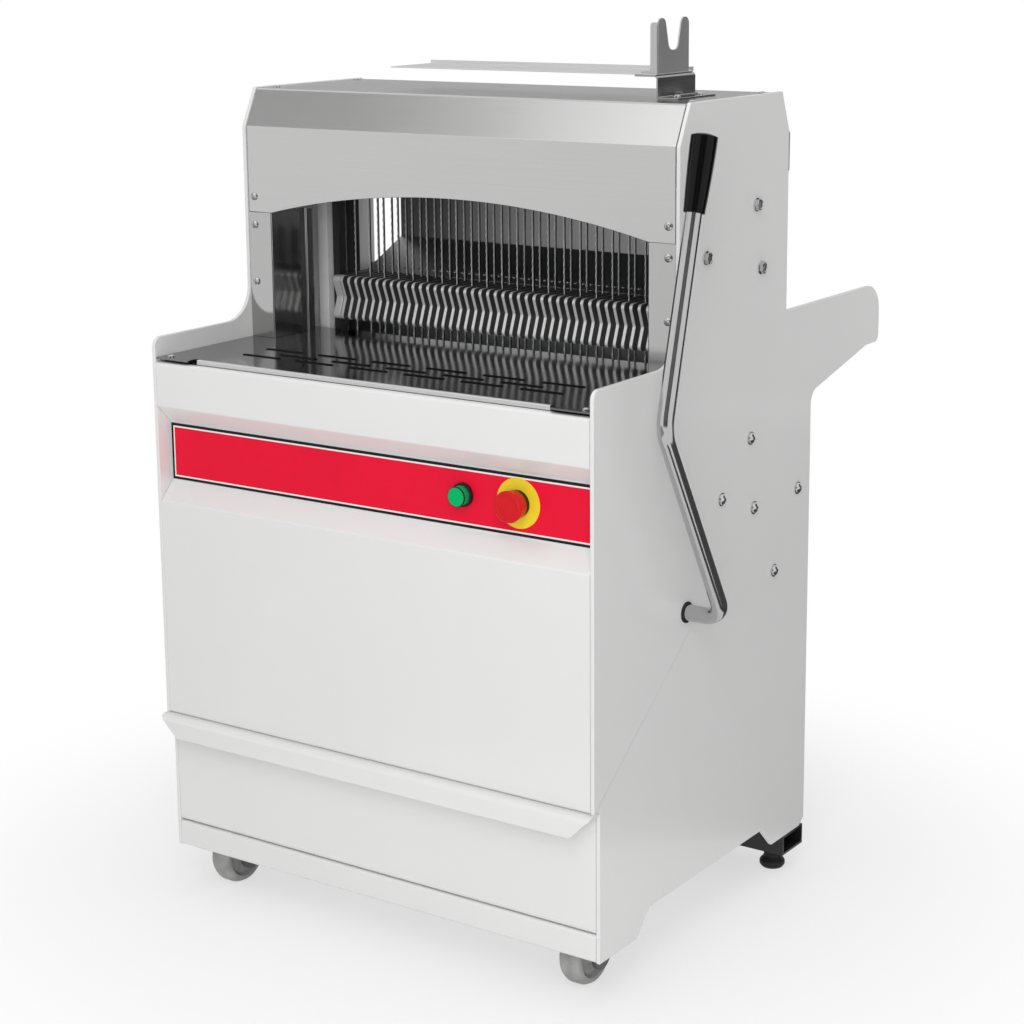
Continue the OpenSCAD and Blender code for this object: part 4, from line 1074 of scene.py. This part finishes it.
@dataclass
class Head:
    """Stainless head: arched cover, columns, black rear cover and guide posts."""

    sheet_x: float = 324.5
    cover_x: float = 323.4
    front_y: float = 187.5
    top_y: tuple = (210.6, 435.4)
    bridge_z: float = 882.0
    facet_z: float = 994.0
    cover_z: float = 1041.5
    rear_y: float = 453.5
    tail_h: float = 24.0
    sheet_t: float = 1.5
    fold_r: float = 2.5
    arch_half: float = 286.5
    arch_rise: float = 34.0
    arch_steps: int = 96
    wall_y: float = 257.5
    wall_x: float = 275.5
    table_z: float = 716.0
    back_y: float = 455.0
    back_low: float = 918.0
    back_flange: float = 12.0
    bulge_d: float = 12.5
    bulge_h: tuple = (49.0, 55.0)

    def cover(self) -> Shell:
        """Cover whose front edge follows an arc of radius R: z = bridge + rise - R + sqrt(R^2 - x^2).

        Returns:
            The shell.
        """
        loop = folded([
            (self.front_y, self.bridge_z), (self.front_y, self.facet_z), (self.top_y[0], self.cover_z),
            (self.top_y[1], self.cover_z), (self.rear_y, self.facet_z),
            (self.rear_y, self.facet_z - self.tail_h)], 4.0, self.sheet_t)
        half, rise = self.arch_half, self.arch_rise
        radius = (half ** 2 + rise ** 2) / (2 * rise)
        inner = np.linspace(-half, half, self.arch_steps + 1)
        x = np.concatenate([[-self.cover_x] * 2, inner, [self.cover_x] * 2])
        lift = np.where(np.abs(x) < half, rise - radius + np.sqrt(np.maximum(0, radius ** 2 - x ** 2)), 0)
        loops = np.repeat(loop[None], len(x), 0)
        loops[:, [0, 1, -2, -1], 1] += lift[:, None]
        return spanned(loops, self.cover_x, inner=inner)

    def column(self) -> Shell:
        """Right-hand column: flange, inner wall and turned-in rear edge, folded from one sheet.

        Returns:
            The shell.
        """
        loop = folded([
            (self.sheet_x, self.front_y), (self.arch_half, self.front_y), (self.arch_half, self.wall_y),
            (self.wall_x, self.wall_y)], self.fold_r, self.sheet_t)
        return carried(loop, self.table_z, self.bridge_z - 0.3, Axis.Z)

    def build(self) -> None:
        """Builds the cover, both columns and the rear cover."""
        add("head_sheet", self.cover(), HEAD_STEEL, "cabinet", "stainless", "head_cover")
        add("column_sheets", self.column().both_sides(), COLUMN_STEEL, "cabinet", "stainless", "columns")
        y, z, low, out = self.back_y, self.facet_z - 2, self.back_low, self.back_y + self.bulge_d
        back = folded([
            (y + 0.2, z), (out, z), (out, z - self.bulge_h[0]), (y, z - self.bulge_h[1]), (y, low),
            (y - self.back_flange, low)], self.fold_r, self.sheet_t)
        add("rear_sheet", spanned(back, self.sheet_x), BLACK, "cabinet", "black_paint", "rear_cover")
        dress(POST_WHITE, "guide_posts")


@dataclass
class Press:
    """Comb of V-shaped fingers, its bar, cover and carriages."""

    comb_y: float = 292.0
    comb_z: float = 728.0
    comb_h: float = 59.0
    comb_l: float = 150.0
    vee: float = 11.0
    finger_h: float = 18.0
    fingers: int = 44
    pitch: float = 12.0
    finger_t: float = 5.0
    edge_x: float = 267.5
    edge_t: float = 11.0
    cover_y: tuple = (362.0, 442.0)
    cover_rise: float = 38.0
    cover_h: float = 126.0
    cover_t: float = 1.5
    cover_r: float = 2.5
    rivet_r: float = 2.6
    rivet_in: float = 12.0

    def outline(self) -> Array:
        """Outline of a finger as (y, z): a V-shaped head in front of a straight bar.

        Returns:
            Points of the outline.
        """
        knee = self.comb_h - self.finger_h
        rows = np.array([
            (0, self.comb_h, 6), (self.vee, self.comb_h / 2, 6), (0, 0, 6), (16, 0, 2),
            (16 + self.vee, self.comb_h / 2 - 6, 5), (41, knee, 5), (self.comb_l, knee, 0.5),
            (self.comb_l, self.comb_h, 0.5)])
        return closed(rows + (self.comb_y, self.comb_z, 0), 5)

    def build(self) -> None:
        """Builds the comb, each finger a plate with rounded rims, and the cover with its rivets."""
        ring = self.outline()
        places = row(self.fingers, self.pitch)
        finger = plate(ring, -self.finger_t / 2, self.finger_t / 2, Axis.X, 0.6)
        ends = plate(ring, self.edge_x - self.edge_t / 2, self.edge_x + self.edge_t / 2, Axis.X, 0.8)
        add("comb_fingers", Shell.join([finger.copies(places), ends.both_sides()]),
            COMB_ALLOY, "press", "aluminium", "press_comb")
        (front, rear), top = self.cover_y, self.comb_z + self.comb_h
        cover = folded([(front, top), (rear, top + self.cover_rise), (rear, top + self.cover_h)],
                       self.cover_r, self.cover_t)
        add("press_sheet", spanned(cover, self.edge_x), PRESS_STEEL, "press", "mirror_steel", "press_cover")
        dome = np.concatenate([[(self.rivet_r, 0)], arc((0, 0), self.rivet_r, 30, 89, 6)]) * (1, 0.7)
        seat = (0, front + self.rivet_in, top + self.rivet_in * self.cover_rise / (rear - front))
        rivet = lathe(dome, Axis.Z, (0, 0, 0), 20).turned((0, -self.cover_rise, rear - front), seat)
        add("cover_rivets", rivet.copies(places), SCREW_STEEL, "press", "bright_steel")
        dress(ZINC, "press_bar", "carriages")


@dataclass
class Drive:
    """Blade frames, blades, crank, belt and motor."""

    blade_low: float = 684.0
    blade_top: float = 930.0
    blade_steps: int = 148
    blade_t: float = 0.8
    blade_w: float = 5.0
    edge_t: float = 0.64
    bevel: float = 0.9
    pitch: float = 24.0
    tooth_l: float = 10.0
    tooth_d: float = 1.3
    front_y: float = 318.0
    front_count: int = 22
    rear_y: float = 352.0
    rear_count: int = 21

    def blades(self, count: int, y: float) -> Shell:
        """Row of scalloped blades: the edge lies d |sin(pi z / l)| behind its foremost points.

        Args:
            count: Number of blades.
            y: Place of the foremost points.

        Returns:
            The shell of the row.
        """
        z = np.linspace(self.blade_low, self.blade_top, self.blade_steps + 1)[:, None]
        edge = y + self.tooth_d * np.abs(np.sin(math.pi * (z - self.blade_low) / self.tooth_l))
        shoulder, back = edge + self.bevel, np.full_like(edge, y + self.blade_w)
        depth = np.concatenate([shoulder, edge, edge, shoulder, back, back], 1)
        t, thin = self.blade_t / 2, self.edge_t / 2
        rings = np.stack(np.broadcast_arrays([-t, -thin, thin, t, t, -t], depth, z), -1)
        return loft(rings).copies(row(count, self.pitch))

    def build(self) -> None:
        """Builds the blades and dresses the drive's nodes."""
        dress(FRAME_STEEL, "blade_frame_front", "blade_frame_rear")
        for name, count, y, finish in (("front", self.front_count, self.front_y, FRONT_BLADE),
                                       ("rear", self.rear_count, self.rear_y, REAR_BLADE)):
            add(name + "_blade_row", self.blades(count, y), finish, name + "_frame", "blade_steel",
                "blades_" + name, smooth=25)
        dress(BRIGHT_STEEL, "crankshaft", "motor_shaft")
        dress(CASTING, "shaft_bearings", "driven_pulley", "motor_pulley")
        dress(BELT_RUBBER, "drive_belt")
        dress(MOTOR_GREY, "motor")


@dataclass
class Lever:
    """Bent chrome bar with a domed grip, its shaft, arms and bushes."""

    plane_x: float = 381.0
    stub_x: float = 302.0
    pivot_y: float = 208.0
    pivot_z: float = 435.0
    lean: float = 29.0
    bend: float = 44.0
    bend_r: tuple = (27.0, 45.0)
    lower: float = 292.0
    upper: float = 245.0
    bar_d: float = 20.0
    grip_l: float = 90.0
    grip_d: float = 31.0
    grip_wall: float = 2.5
    bar_short: float = 14.0

    def way(self, angle: float) -> Array:
        """Unit vector that leans forward of upright by an angle in degrees."""
        return np.array([0, -math.sin(math.radians(angle)), math.cos(math.radians(angle))])

    def build(self) -> None:
        """Builds the bar along its bent path and the grip about the upper arm."""
        pivot = np.array([self.plane_x, self.pivot_y, self.pivot_z])
        stub = np.array([self.stub_x, self.pivot_y, self.pivot_z])
        knee = pivot + self.way(self.lean) * self.lower
        up = self.way(self.lean - self.bend)
        start = knee + up * self.upper
        corners = np.stack([stub, pivot, knee, start + up * (self.grip_l - self.bar_short)])
        add("lever_rod", sweep(rounded(corners, self.bend_r, 16), self.bar_d / 2, 40), CHROME, "lever",
            "lever_chrome", "lever_bar")
        r0, r1, length = self.bar_d / 2 + self.grip_wall, self.grip_d / 2, self.grip_l
        side = np.linspace(0, 1, 10)
        profile = np.concatenate([
            [(self.bar_d / 2 + 0.05, 0), (r0 - 0.8, 0), (r0, 0.8)],
            np.stack([r0 + (r1 - r0) * np.sin(side * math.pi / 2), 3 + side * (length - 9)], 1),
            [(r1, length - 4.5)], arc((r1 - 1.2, length - 3.7), 1.2, 0, 75, 5),
            [(r1 - 2.2, length - 2.3), (r1 - 5, length - 1), (r1 - 9, length - 0.2), (0.01, length)]])
        add("lever_handle", lathe(profile, Axis.Z, (0, 0, 0), 96).turned(up, start), GRIP_BLACK, "lever",
            "black_plastic", "lever_grip")
        dress(BRIGHT_STEEL, "lever_shaft")
        dress(ZINC, "lever_arms")
        dress(PART_BLACK, "lever_bushes")


@dataclass
class Controls:
    """Start button and emergency stop; the tables hold (radius, distance in front of the control foil)."""

    start_x: float = 136.0
    stop_x: float = 214.0
    height: float = 594.0
    foil_y: float = 22.0
    ridges: int = 60
    ridge_d: float = 0.35
    rim: tuple = ((11.0, 13.4), (12.1, 13.4), (12.1, 14.9), (11.8, 15.3), (11.2, 15.3), (11.0, 15.0),
                  (11.0, 13.4))
    bezel: tuple = ((12.7, 0), (14.5, 0), (14.5, 3.4), (14.1, 4.6), (13.6, 5.6), (13.1, 6), (12.7, 5.6),
                    (12.7, 0))
    mushroom: tuple = ((4.55, 14.3), (16.5, 14.3), (16.5, 8.6), (17.1, 8.6), (17.7, 14), (18.1, 18.3),
                       *arc((15.8, 21.6), 3.2, 0, 90, 8).tolist(), (13.9, 24.75), (13.5, 24.2), (12.9, 24.0),
                       (11.9, 24.0), (11.4, 24.4), (0.01, 24.6))
    collar: tuple = ((4.7, 1), (15.9, 1), (15.9, 6.6), (15.2, 7.9), (4.7, 7.9), (4.7, 1))
    disc: tuple = ((4.7, 0), (29.6, 0), (30, 0.3), (30, 0.7), (29.6, 1), (4.7, 1), (4.7, 0))

    def knob(self, x: float, rows: Sequence[Sequence[float]], sides: int = 72, flutes: int = 0,
             flute_d: float = 0.0) -> Shell:
        """Turned piece from rows of (radius, distance in front of the foil), as by lathe()."""
        table = np.asarray(rows, float) * (1, -1)
        return lathe(table, Axis.Y, (x, self.foil_y, self.height), sides, flutes, flute_d)

    def start_cap(self) -> Shell:
        """Start button: a stem, a cap with a rounded rim and a ridged skirt.

        Returns:
            The shell.
        """
        lens = [(11.9, 4.6), (11.9, 14.4), *arc((11.0, 14.4), 0.9, 0, 90, 4).tolist(), (10.2, 15.2),
                (9.6, 15.05)]
        ridged = self.knob(self.start_x, [(0.01, 4.6), *lens[:2], (11.2, 14.6), (0.01, 14.6)],
                           4 * self.ridges, self.ridges, self.ridge_d)
        cap = self.knob(self.start_x, [
            (0.01, -11), (5, -11), (5, 4.7), (11.4, 4.7), (11.4, 13.6), *lens[1:], (0.01, 15.05)])
        return Shell.join([cap, ridged])

    def build(self) -> None:
        """Builds the knobs, collars and discs."""
        start, stop = self.start_x, self.stop_x
        add("start_cap", self.start_cap(), START_GREEN, "start", "green_plastic", "start_button", smooth=25)
        add("start_rim", self.knob(start, self.rim), PART_BLACK, "start", "black_plastic")
        add("start_ring", self.knob(start, self.bezel), PART_BLACK, "cabinet", "black_plastic", "start_bezel")
        add("stop_mushroom", self.knob(stop, self.mushroom), STOP_RED, "estop_mushroom", "red_plastic",
            "estop_head")
        add("stop_collar", self.knob(stop, self.collar), PART_BLACK, "cabinet", "black_plastic", "estop_collar")
        add("stop_disc", self.knob(stop, self.disc, 128), DISC_YELLOW, "cabinet", "yellow_plastic",
            "estop_disc")
        dress(PART_BLACK, "estop_stem", "contact_blocks")


@dataclass
class BagHolder:
    """Bracket, tray and fork on top of the head."""

    hold_x: float = 252.0
    hold_y: float = 263.0
    hold_l: float = 90.0
    flange: float = 30.0
    sheet_t: float = 2.0
    cover_z: float = 1041.5
    tray_z: float = 1069.5
    tray_l: float = 396.0
    tray_w: float = 88.0
    tray_t: float = 1.5
    tray_rim: float = 6.0
    fork_y: float = 267.25
    fork_w: float = 73.0
    fork_h: float = 65.0
    prong_r: float = 8.4
    notch_w: tuple = (39.0, 20.0)
    notch_d: float = 38.0
    notch_r: float = 9.2
    turned_w: float = 11.0
    crease_z: float = 11.0
    crease_r: float = 0.4

    def fork(self) -> Shell:
        """Fork blade with a tapered, round-bottomed notch, two turned edges, a foot and a pressed crease.

        Returns:
            The shell.
        """
        z0, y0, y1, x = self.tray_z + self.tray_t, self.fork_y, self.fork_y + self.fork_w, self.hold_x
        top, mid, t, r = z0 + self.fork_h, (y0 + y1) / 2, self.sheet_t, self.crease_r
        wide, narrow, sole = self.notch_w[0] / 2, self.notch_w[1] / 2, top - self.notch_d
        blade = closed([
            (y0, z0, 0.5), (y1, z0, 0.5), (y1, top, self.prong_r), (mid + wide, top, self.prong_r),
            (mid + narrow, sole, self.notch_r), (mid - narrow, sole, self.notch_r),
            (mid - wide, top, self.prong_r), (y0, top, self.prong_r)])
        inner, foot_x = x - self.turned_w, x - self.flange + 4
        edge = closed([(inner, z0, 0.5), (x - r, z0, 0.3), (x - r, top - 5, 0.3), (inner, top - 5, 4)])
        foot = closed([
            (foot_x, y0 + t, 4), (x - t, y0 + t, 0.3), (x - t, y1 - t, 0.3), (foot_x, y1 - t, 4)])
        crease = np.array([(x - r, y0 + 3, z0 + self.crease_z), (x - r, y1 - 3, z0 + self.crease_z)])
        return Shell.join([
            plate(blade, x - t, x - 0.02, Axis.X, 0.5), plate(edge, y0, y0 + t, Axis.Y, 0.5),
            plate(edge, y1 - t, y1, Axis.Y, 0.5), plate(foot, z0, z0 + t, Axis.Z, 0.4),
            sweep(np.linspace(*crease, 5), r, 12)])

    def build(self) -> None:
        """Builds the folded sheets of the holder."""
        x, top, z = self.hold_x, self.tray_z - self.sheet_t, self.cover_z
        loop = folded([(x + self.flange, z), (x, z), (x, top), (x - self.flange, top)], 3.0, self.sheet_t)
        add("holder_bracket", carried(loop, self.hold_y, self.hold_y + self.hold_l, Axis.Y),
            HOLDER_STEEL, "cabinet", "stainless", "bag_bracket")
        rear, front, z = self.hold_y + 1 + self.tray_w, self.hold_y + 1, self.tray_z
        loop = folded([(rear, z + self.tray_rim), (rear, z), (front, z)], 2.2, self.tray_t, 0.3)
        add("holder_tray", carried(loop, x - self.tray_l, x, Axis.X, 0.3),
            TRAY_STEEL, "cabinet", "stainless", "bag_tray")
        add("holder_fork", self.fork(), FORK_STEEL, "cabinet", "stainless", "bag_fork")


@dataclass
class RunningGear:
    """Wheels in their brackets and levelling feet."""

    wheel_x: float = 275.0
    wheel_y: float = 67.0
    wheel_r: float = 40.0
    wheel_w: float = 30.0
    bore_r: float = 6.05
    hub_out: float = 4.7
    foot_x: float = 300.0
    foot_y: float = 497.0
    pad_r: float = 17.0
    neck_r: float = 11.0
    neck_z: float = 29.7
    screw_r: float = 6.0
    thread_z: tuple = (30.2, 68.5)
    thread_d: float = 0.35
    thread_rows: int = 78
    foot_top: float = 69.0

    def wheel(self) -> Array:
        """Half section of a wheel as (r, x), mirrored: hub, dished web, rim and round tread.

        Returns:
            Rows of the section.
        """
        r, w = self.wheel_r, self.wheel_w / 2
        half = rounded(np.array([
            (self.bore_r, w + self.hub_out), (13, w + self.hub_out), (15, w - 6), (r - 13, w - 7), (r - 9.5, w),
            (r - 4, w - 0.5), (r, w - 8), (r, 0)]), (0.8, 3.0, 3.0, 1.2, 4.0, 7.0), 6)
        return np.concatenate([half, half[::-1] * (1, -1)])

    def foot(self) -> Array:
        """Section of a levelling foot as (r, z): round pad, hollow cone, neck and screw.

        Returns:
            Rows of the section.
        """
        body = rounded(np.array([
            (0.01, 0), (self.pad_r - 3, 0), (self.pad_r, 4), (self.pad_r, 9), (self.neck_r + 0.5, 15),
            (self.neck_r, self.neck_z), (self.screw_r, self.neck_z)]), (2.0, 3.0, 4.0, 6.0, 0.6), 6)
        ridge = np.arange(self.thread_rows) % 2
        thread = np.stack([self.screw_r - self.thread_d * ridge,
                           np.linspace(*self.thread_z, self.thread_rows)], 1)
        return np.concatenate([body, thread, [(self.screw_r - 1, self.foot_top), (0.01, self.foot_top)]])

    def build(self) -> None:
        """Builds the wheels and the feet."""
        for name, side in (("left", -1), ("right", 1)):
            hub = (side * self.wheel_x, self.wheel_y, self.wheel_r)
            add(name + "_castor", lathe(self.wheel(), Axis.X, hub, 96),
                WHEEL_GREY, name + "_wheel", "grey_plastic", "wheel_" + name)
            add(name + "_pad", lathe(self.foot(), Axis.Z, (side * self.foot_x, self.foot_y, 0), 64),
                FOOT_RUBBER, name + "_foot", "black_rubber", "foot_" + name)
        # painted shade: the wheel brackets and axles take the dark casting grey to stand for the shade under
        # the cabinet
        dress(CASTING, "wheel_brackets", "wheel_axles")


@dataclass
class Fasteners:
    """Hex and domed bolts on the side plates, cross-recess screws on the covers."""

    face_x: float = 330.0
    panel_t: float = 5.0
    hex_places: tuple = ((372, 910), (385, 831), (248.5, 859))
    dome_places: tuple = ((364, 620), (493, 530), (431, 434), (291.5, 557), (374.5, 529))
    front_screws: tuple = ((314.5, 187.5, 902), (314.5, 187.5, 865), (314.5, 187.5, 790))
    top_screws: tuple = ((314.5, 240, 1041.5), (314.5, 411, 1041.5), (311.5, 14, 716))
    rear_screws: tuple = ((314.5, 455, 929), (314.5, 522, 97), (314.5, 522, 600))
    holder_screws: tuple = ((268, 283, 1043.5), (268, 338, 1043.5), (235, 287.25, 1073), (235, 327.25, 1073))
    washer: tuple = ((8.5, 0, 0), (8.5, 0.9, 0), (8.2, 1.2, 0))
    hexagon: tuple = ((7.5, 1.2, 1), (7.5, 5.2, 1), (7.1, 5.9, 1), (6.2, 6.2, 0), (5.2, 6.2, 0), (4.6, 5.6, 0),
                      (0.02, 5.5, 0))
    socket: tuple = ((2.9, 5.1, 1), (2.9, 3.0, 1), (0.02, 2.8, 0))
    hex_flat: float = 6.5
    socket_flat: float = 2.5
    screw_spin: tuple = (0.4, 0.77)
    bolt_spin: float = 0.3

    def screws(self) -> Shell:
        """All cross-recess screws, each turned by its own angle.

        Returns:
            The shell.
        """
        rows = [((s * x, y, z), way) for places, way in (
            (self.front_screws, (0, -1, 0)), (self.top_screws, (0, 0, 1)), (self.rear_screws, (0, 1, 0)))
            for x, y, z in places for s in (-1, 1)]
        rows += [(place, (0, 0, 1)) for place in self.holder_screws]
        head, (first, more) = pan_head(), self.screw_spin
        return Shell.join([head.turned(way, place, first + more * i) for i, (place, way) in enumerate(rows)])

    def bolts(self) -> Shell:
        """All bolts through the side plates.

        Returns:
            The shell.
        """
        hexed = bolt_head(self.washer + self.hexagon, self.hex_flat, self.panel_t)
        dome = [(7.0 * math.cos(a), 1.4 + 3.8 * math.sin(a), 0) for a in np.radians(np.linspace(0, 62, 9))]
        domed = bolt_head((*self.washer, (7.0, 1.2, 0), *dome, *self.socket), self.socket_flat, self.panel_t)
        return Shell.join([
            head.turned((s, 0, 0), (s * self.face_x, y, z), self.bolt_spin + y)
            for head, places in ((hexed, self.hex_places), (domed, self.dome_places))
            for y, z in places for s in (-1, 1)])

    def build(self) -> None:
        """Builds the fasteners."""
        add("pan_screws", self.screws(), SCREW_STEEL, "cabinet", "bright_steel", "cover_screws", smooth=35)
        add("panel_bolts", self.bolts(), SCREW_STEEL, "cabinet", "zinc_steel", "side_bolts", smooth=35)


@dataclass
class Studio:
    """Pale floor, soft lamps, white surroundings, cards and the camera of the photograph, in metres.

    Rows of lamps hold name, place, size and power. Rows of cards hold name, brightness, azimuth, width, two
    heights of a standing card or two distances of a lying one, and light of its own.
    """

    eye: tuple = (1.6230, -2.0420, 1.2241)
    yaw: float = 0.6016
    pitch: float = 0.2054
    roll: float = -0.0091
    lens: float = 78.776
    sensor: float = 36.0
    shift: float = -0.0996
    ambient: float = 0.42
    aim: tuple = (0.0, 0.25, 0.6)
    floor_half: float = 6.0
    floor_mid: float = 0.3
    floor_fade: tuple = (0.35, 0.95)
    card_r: float = 3.4
    mat_z: float = 0.003
    lamps: tuple = (
        ("key", (1.9, -3.1, 1.35), (2.2, 1.8), 43.0),
        ("front", (1.5, -2.2, 2.9), (1.4, 1.4), 25.0),
        ("top", (0.2, 0.2, 3.6), (3.0, 3.0), 26.0))
    standing: tuple = (
        ("camera_side", 0.08, -58.0, 3.2, -0.2, 2.6, 0.0),
        ("far_left", 0.03, 176.0, 1.7, -0.2, 2.6, 0.0),
        ("right_rear", 0.05, 44.0, 2.2, -0.2, 2.6, 0.0),
        ("behind", 0.72, 126.0, 2.8, 1.0, 2.6, 0.0),
        ("upper_left", 0.8, 214.0, 1.75, 1.9, 3.8, 0.0),
        ("upper_front", 0.0, 241.0, 1.4, 2.4, 5.6, 1.6))
    lying: tuple = (
        ("right_mat", 0.08, -8.0, 1.0, 0.62, 0.84, 0.0),
        ("rear_mat", 0.10, 54.0, 2.4, 0.5, 3.3, 0.0),
        ("front_mat", 0.45, 234.0, 3.0, 0.9, 3.3, 0.0))

    def camera(self) -> None:
        """Places the camera: it looks along yaw and pitch, and is turned by roll about that line."""
        a, b, c = self.yaw, self.pitch, self.roll
        ahead = Vector((-math.sin(a) * math.cos(b), math.cos(a) * math.cos(b), -math.sin(b)))
        side = Vector((math.cos(a), math.sin(a), 0))
        up = side.cross(ahead)
        side, up = side * math.cos(c) + up * math.sin(c), up * math.cos(c) - side * math.sin(c)
        data = bpy.data.cameras.new("camera")
        data.lens, data.sensor_width, data.shift_y = self.lens, self.sensor, self.shift
        made = bpy.data.objects.new("camera", data)
        turn = Matrix((side, up, -ahead)).transposed().to_4x4()
        made.matrix_world = Matrix.Translation(Vector(self.eye) - Vector(DATUM * MM)) @ turn
        bpy.context.scene.collection.objects.link(made)
        bpy.context.scene.camera = made

    def lamp(self, name: str, place: Sequence[float], size: Sequence[float], power: float) -> None:
        """Adds one soft rectangular lamp that points from its place at the aim.

        Args:
            name: Name of the lamp; reflections show only the key.
            place: Its place.
            size: Its width and height.
            power: Its power in watts.
        """
        data = bpy.data.lights.new(name, "AREA")
        data.shape, data.size, data.size_y, data.energy = "RECTANGLE", size[0], size[1], power
        made = bpy.data.objects.new(name, data)
        made.location = Vector(place) - Vector(DATUM * MM)
        made.rotation_euler = (Vector(self.aim) - Vector(place)).to_track_quat("-Z", "Y").to_euler()
        made.visible_glossy = name == "key"
        bpy.context.scene.collection.objects.link(made)

    def world(self) -> None:
        """White to the eye and in reflections, dimmer as light on the object."""
        made = bpy.data.worlds.new("surroundings")
        made.use_nodes = True
        sky = Nodes(made.node_tree)
        ground = made.node_tree.nodes["Background"]
        ground.inputs["Color"].default_value = (1.0, 1.0, 1.0, 1.0)
        sky.feed(ground.inputs["Strength"], sky.seen() * (1.0 - self.ambient) + self.ambient)
        bpy.context.scene.world = made

    def sheet(self, name: str, corners: Array, made: Shader) -> bpy.types.Object:
        """Adds a four-cornered sheet of the stage with a material.

        Args:
            name: Name of the sheet.
            corners: Its corners in the frame's metres.
            made: Its material.

        Returns:
            The new object.
        """
        mesh = bpy.data.meshes.new(name)
        mesh.from_pydata(corners.tolist(), [], [(0, 1, 2, 3)])
        mesh.materials.append(made.material)
        stand = bpy.data.objects.new(name, mesh)
        bpy.context.scene.collection.objects.link(stand)
        return stand

    def floor(self) -> None:
        """Pale floor that keeps the object's shadow and fades to white, e = smoothstep of the distance."""
        made = Shader("pale_floor")
        made.set("Base Color", made.mix((0.92, 0.92, 0.92), (0.95, 0.95, 0.95), made.noise(3.0, 3.0)))
        made.set("Roughness", 0.9)
        made.set("Specular IOR Level", 0.0)
        x, y, _ = made.split()
        away = ((x * x) + (y - self.floor_mid) * (y - self.floor_mid)) ** 0.5
        white = made.node("ShaderNodeEmission", {}, {"Color": (1.0, 1.0, 1.0, 1.0), "Strength": 1.0})
        lit = Wire(made, made.surface.outputs[0])
        fade = made.seen() * (made.step(away, *self.floor_fade) * 0.4 + 0.6)
        made.feed(made.tree.nodes["Material Output"].inputs["Surface"],
                  made.node("ShaderNodeMixShader", {}, {0: fade, 1: lit, 2: white}))
        corners = np.array([(-1, -1, 0), (1, -1, 0), (1, 1, 0), (-1, 1, 0)])
        self.sheet("floor", corners * self.floor_half, made)

    def card(self, name: str, tone: float, corners: Array, glow: float) -> None:
        """Sets up a card that only reflections show.

        Args:
            name: Name of the card.
            tone: Brightness of the card.
            corners: Its four corners in metres.
            glow: Light of its own.
        """
        made = Shader("card_" + name)
        made.set("Base Color", (tone, tone, tone))
        made.set("Roughness", 1.0)
        made.set("Emission Color", (1.0, 1.0, 1.0))
        made.set("Emission Strength", glow)
        stand = self.sheet(name, corners - DATUM * MM, made)
        stand.visible_camera = stand.visible_diffuse = stand.visible_shadow = False
        stand.visible_transmission = stand.visible_volume_scatter = False

    def corners(self, azimuth: float, width: float, rows: Sequence[Sequence[float]]) -> Array:
        """Corners of a card that faces the object, from rows of (side, distance, height).

        Args:
            azimuth: Direction of the card from the object, in degrees.
            width: Width of the card.
            rows: The rows, one for each corner.

        Returns:
            The corners in metres.
        """
        a = math.radians(azimuth)
        ahead, side = np.array([math.cos(a), math.sin(a), 0]), np.array([-math.sin(a), math.cos(a), 0])
        return np.stack([ahead * r + s * side * width / 2 + (0, self.aim[1], z) for s, r, z in rows])

    def build(self) -> None:
        """Sets up camera, floor, world, lamps and cards."""
        self.camera()
        self.floor()
        self.world()
        for name, place, size, power in self.lamps:
            self.lamp(name, place, size, power)
        for name, tone, azimuth, width, low, high, glow in self.standing:
            rows = [(s, self.card_r, z) for s, z in ((-1, low), (1, low), (1, high), (-1, high))]
            self.card(name, tone, self.corners(azimuth, width, rows), glow)
        for name, tone, azimuth, width, near, far, glow in self.lying:
            rows = [(s, r, self.mat_z) for s, r in ((-1, near), (-1, far), (1, far), (1, near))]
            self.card(name, tone, self.corners(azimuth, width, rows), glow)
        bpy.context.scene.view_settings.view_transform = "Standard"


def main() -> None:
    """Builds the studio and every sub-assembly."""
    logging.basicConfig(level=logging.INFO, format="%(name)s: %(message)s")
    Studio().build()
    for group in (Cabinet(), Drawer(), Head(), Press(), Drive(), Lever(), Controls(), BagHolder(),
                  RunningGear(), Fasteners()):
        LOG.info("group %s", type(group).__name__)
        group.build()


if __name__ == "__main__":
    main()
